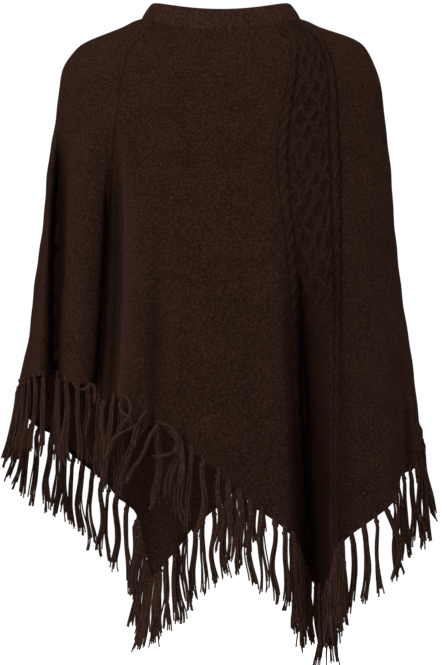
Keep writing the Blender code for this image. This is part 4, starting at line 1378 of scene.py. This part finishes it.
    def guide_mesh(self, locks: list[Lock], knotted: int) -> bpy.types.Mesh:
        """The middles of the locks as lines, with what the tree needs to know at each point.

        Args:
            locks: Locks of the fringe.
            knotted: How many of them, from the first, have a knot.

        Returns:
            A mesh of edges.
        """
        counts = [len(lock.points) for lock in locks]
        ends = np.cumsum(counts)
        starts = np.setdiff1d(np.arange(ends[-1]), ends - 1)
        mesh = bpy.data.meshes.new(self.name + "_guide")
        points = np.concatenate([lock.points for lock in locks])
        mesh.from_pydata(points.tolist(), np.stack([starts, starts + 1], axis=-1).tolist(), [])
        columns = {
            "half_width": np.concatenate([lock.half_width for lock in locks]),
            "half_depth": np.concatenate([lock.half_depth for lock in locks]),
            "twist": np.repeat([lock.twist for lock in locks], counts),
            "side": np.repeat([lock.side for lock in locks], counts, axis=0),
            "out": np.repeat([lock.out for lock in locks], counts, axis=0),
        }
        for name, values in columns.items():
            kind, key = ("FLOAT", "value") if values.ndim == 1 else ("FLOAT_VECTOR", "vector")
            mesh.attributes.new(name, kind, "POINT").data.foreach_set(key, values.ravel())
        steps = np.concatenate([np.arange(count) for count in counts])
        is_knot = (steps == 2) & (np.repeat(np.arange(len(locks)), counts) < knotted)
        mesh.attributes.new("is_knot", "BOOLEAN", "POINT").data.foreach_set("value", is_knot)
        return mesh

    def build(self, dice: random.Random, spinner: YarnTree, wool: bpy.types.Material) -> bpy.types.Object:
        """Builds the guide lines, spins the yarns along them and gives the plain mesh.

        Args:
            dice: Source of the random steps, shared by the four fringes.
            spinner: Tree that spins the yarns.
            wool: Material of the yarns.

        Returns:
            The fringe as one object.
        """
        locks = self.locks(dice) + self.point_locks()
        knotted = len(locks)
        if self.with_band:
            locks += self.tangles()
        guide = bpy.data.objects.new(self.name + "_guide", self.guide_mesh(locks, knotted))
        bpy.context.scene.collection.objects.link(guide)
        modifier = guide.modifiers.new("yarn", "NODES")
        modifier.node_group = spinner.tree
        settings = {
            "Yarns": self.yarns, "Yarn radius": self.yarn_radius, "Waviness": 0.008, "Wave scale": 19.0,
            "Shortest": 0.80, "Knot radius": 0.0030, "Seed": 5, "Wool": wool,
        }
        for name, value in settings.items():
            modifier[spinner.sockets[name]] = value
        graph = bpy.context.evaluated_depsgraph_get()
        spun = guide.evaluated_get(graph)
        mesh = bpy.data.meshes.new_from_object(spun, preserve_all_data_layers=True, depsgraph=graph)
        mesh.name = self.name + "_yarn"
        bpy.data.objects.remove(guide, do_unlink=True)
        piece = bpy.data.objects.new(self.name + "_yarn", mesh)
        bpy.context.scene.collection.objects.link(piece)
        return piece


# Soft lights: name, place, size, power.
LAMPS: tuple[tuple[str, tuple[float, float, float], float, float], ...] = (
    ("key_light", (-1.7, -2.4, 0.35), 1.3, 33.0), ("fill_light", (1.6, -2.1, 0.35), 1.4, 14.0),
    ("low_light", (-0.45, -1.3, -1.15), 0.9, 4.8), ("bounce_light", (-0.15, -0.10, -1.08), 0.35, 1.2),
    ("top_light", (-0.2, -0.9, 1.5), 1.2, 14.0), ("far_light", (0.6, 2.9, 0.9), 2.0, 105.0),
    ("right_light", (3.0, 1.2, 0.5), 1.6, 38.0), ("left_light", (-3.0, 1.2, 0.4), 1.6, 38.0),
)


@dataclass
class Studio:
    """White ground, soft lights and the camera."""

    ground_height: float = -1.35
    ground_radius: float = 14.0
    camera_place: tuple[float, float, float] = (0.0036, -3.5, -0.443)
    lens: float = 88.95
    sensor: float = 24.0
    ambient_low: float = 0.06
    ambient_high: float = 0.38

    def ground(self) -> None:
        """Adds the round white floor."""
        turn = np.linspace(0.0, 2 * math.pi, 96, endpoint=False)
        rim = [(math.cos(angle) * self.ground_radius, math.sin(angle) * self.ground_radius, self.ground_height)
               for angle in turn]
        floor = make_object("studio_floor", np.array(rim), [list(range(len(rim)))])
        floor.data.materials.append(PaperFinish().make())
        floor.visible_diffuse = False

    def world(self) -> None:
        """Makes a white surround that lights the garment softly."""
        world = bpy.data.worlds.new("studio_surround")
        bpy.context.scene.world = world
        world.use_nodes = True
        kit = NodeKit(world.node_tree)
        shade = kit.tree.nodes["Background"].inputs
        shade["Color"].default_value = (1.0, 1.0, 1.0, 1.0)
        direction = kit.node("ShaderNodeTexCoord").outputs["Generated"]
        height = kit.made("ShaderNodeSeparateXYZ", {"Vector": direction}).node.outputs["Z"]
        light = kit.made("ShaderNodeMapRange", {
            "Value": height, "From Min": -1.0, "To Min": self.ambient_low, "To Max": self.ambient_high,
        })
        seen = kit.node("ShaderNodeLightPath").outputs["Is Camera Ray"]
        kit.join(kit.made("ShaderNodeMapRange", {"Value": seen, "To Min": light, "To Max": 1.05}), shade["Strength"])

    def lamp(self, name: str, place: tuple[float, float, float], size: float, power: float) -> None:
        """Adds a square soft light that faces the garment."""
        light = bpy.data.lights.new(name, "AREA")
        light.shape = "SQUARE"
        light.size = size
        light.energy = power
        lamp = bpy.data.objects.new(name, light)
        lamp.location = place
        aim = Vector((0.0, 0.0, -0.40)) - Vector(place)
        lamp.rotation_euler = aim.to_track_quat("-Z", "Y").to_euler()
        bpy.context.scene.collection.objects.link(lamp)

    def camera(self) -> None:
        """Adds the camera at the photograph's viewing angle."""
        data = bpy.data.cameras.new("studio_camera")
        data.sensor_width = self.sensor
        data.lens = self.lens
        camera = bpy.data.objects.new("studio_camera", data)
        camera.location = self.camera_place
        camera.rotation_euler = (math.radians(90.0), 0.0, 0.0)
        bpy.context.scene.collection.objects.link(camera)
        bpy.context.scene.camera = camera

    def build(self) -> None:
        """Sets up the whole studio."""
        self.ground()
        self.world()
        for lamp in LAMPS:
            self.lamp(*lamp)
        self.camera()
        scene = bpy.context.scene
        scene.view_settings.view_transform = "Standard"
        scene.view_settings.look = "None"


PANELS = (
    KnitPanel("back_panel", BACK_LEFT_SEAM, BACK_RIGHT_SEAM, 0.0, 140, 290, (0.57, 0.82), 0.250, CableBand()),
    KnitPanel("right_side", BACK_RIGHT_SEAM, FRONT_RIGHT_SEAM, 0.0, 100, 150, (0.49, 0.77), 0.187),
    KnitPanel("front_panel", FRONT_RIGHT_SEAM, FRONT_LEFT_SEAM, 360.0, 110, 160, (0.61, 0.78), 0.224),
    KnitPanel("left_side", FRONT_LEFT_SEAM, BACK_LEFT_SEAM, 0.0, 240, 150, (0.60, 0.68), 0.216),
)
FRINGES = (
    YarnFringe("fringe_back", BACK_LEFT_SEAM, BACK_RIGHT_SEAM, 0.0,
               ((0.0, 0.24, 4), (0.24, 0.84, 7), (0.84, 1.0, 4)), with_band=True),
    YarnFringe("fringe_right", BACK_RIGHT_SEAM, FRONT_RIGHT_SEAM, 0.0,
               ((0.0, 0.2, 5), (0.2, 0.58, 5), (0.58, 0.78, 5), (0.78, 1.0, 3))),
    YarnFringe("fringe_front", FRONT_RIGHT_SEAM, FRONT_LEFT_SEAM, 360.0,
               ((0.0, 0.60, 10), (0.60, 0.75, 3), (0.75, 0.90, 7), (0.90, 1.0, 2))),
    YarnFringe("fringe_left", FRONT_LEFT_SEAM, BACK_LEFT_SEAM, 0.0,
               ((0.0, 0.62, 9), (0.62, 0.82, 6), (0.82, 1.0, 8))),
)
KNIT_WOOL = WoolFinish(
    "brown_knit", Surface.KNIT, (0.0208, 0.0090, 0.0058), (0.050, 0.0245, 0.0166), (0.103, 0.055, 0.0415),
)
RIB_WOOL = WoolFinish(
    "brown_rib", Surface.RIB, (0.027, 0.0119, 0.0078), (0.073, 0.0364, 0.0252), (0.137, 0.0755, 0.058),
)
YARN_WOOL = WoolFinish(
    "brown_yarn", Surface.YARN, (0.027, 0.0126, 0.0083), (0.0624, 0.0318, 0.0220), (0.109, 0.062, 0.0466),
    stitch_width=0.0032, relief=0.0004,
)


def report(piece: bpy.types.Object, node: str) -> None:
    """Hides the solid that a piece stands for, hangs the piece on the root body and logs its triangles.

    Args:
        piece: Finished piece.
        node: Solid that it stands for.
    """
    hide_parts(node)
    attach(piece, "root")
    triangles = sum(len(face.vertices) - 2 for face in piece.data.polygons)
    log.info("%s: %d triangles", piece.name, triangles)


def surface_area(piece: bpy.types.Object) -> float:
    """Half of the surface of a closed shell."""
    return sum(face.area for face in piece.data.polygons) / 2


def main() -> None:
    """Builds the dressed garment and the studio."""
    logging.basicConfig(level=logging.INFO, format="%(name)s: %(message)s")
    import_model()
    Studio().build()
    knit, rib, yarn = KNIT_WOOL.make(), RIB_WOOL.make(), YARN_WOOL.make()
    spinner = YarnTree()
    dice = random.Random(11)
    for panel, fringe in zip(PANELS, FRINGES):
        cloth = panel.build()
        cloth.data.materials.append(knit)
        report(cloth, panel.name)
        locks = fringe.build(dice, spinner, yarn)
        report(locks, fringe.name)
        log.info("%s: half surface %.4f", cloth.name, surface_area(cloth))
    collar = RibCollar()
    band = collar.build()
    band.data.materials.append(rib)
    report(band, "collar")
    log.info("%s: half surface %.4f", band.name, surface_area(band))


if __name__ == "__main__":
    main()
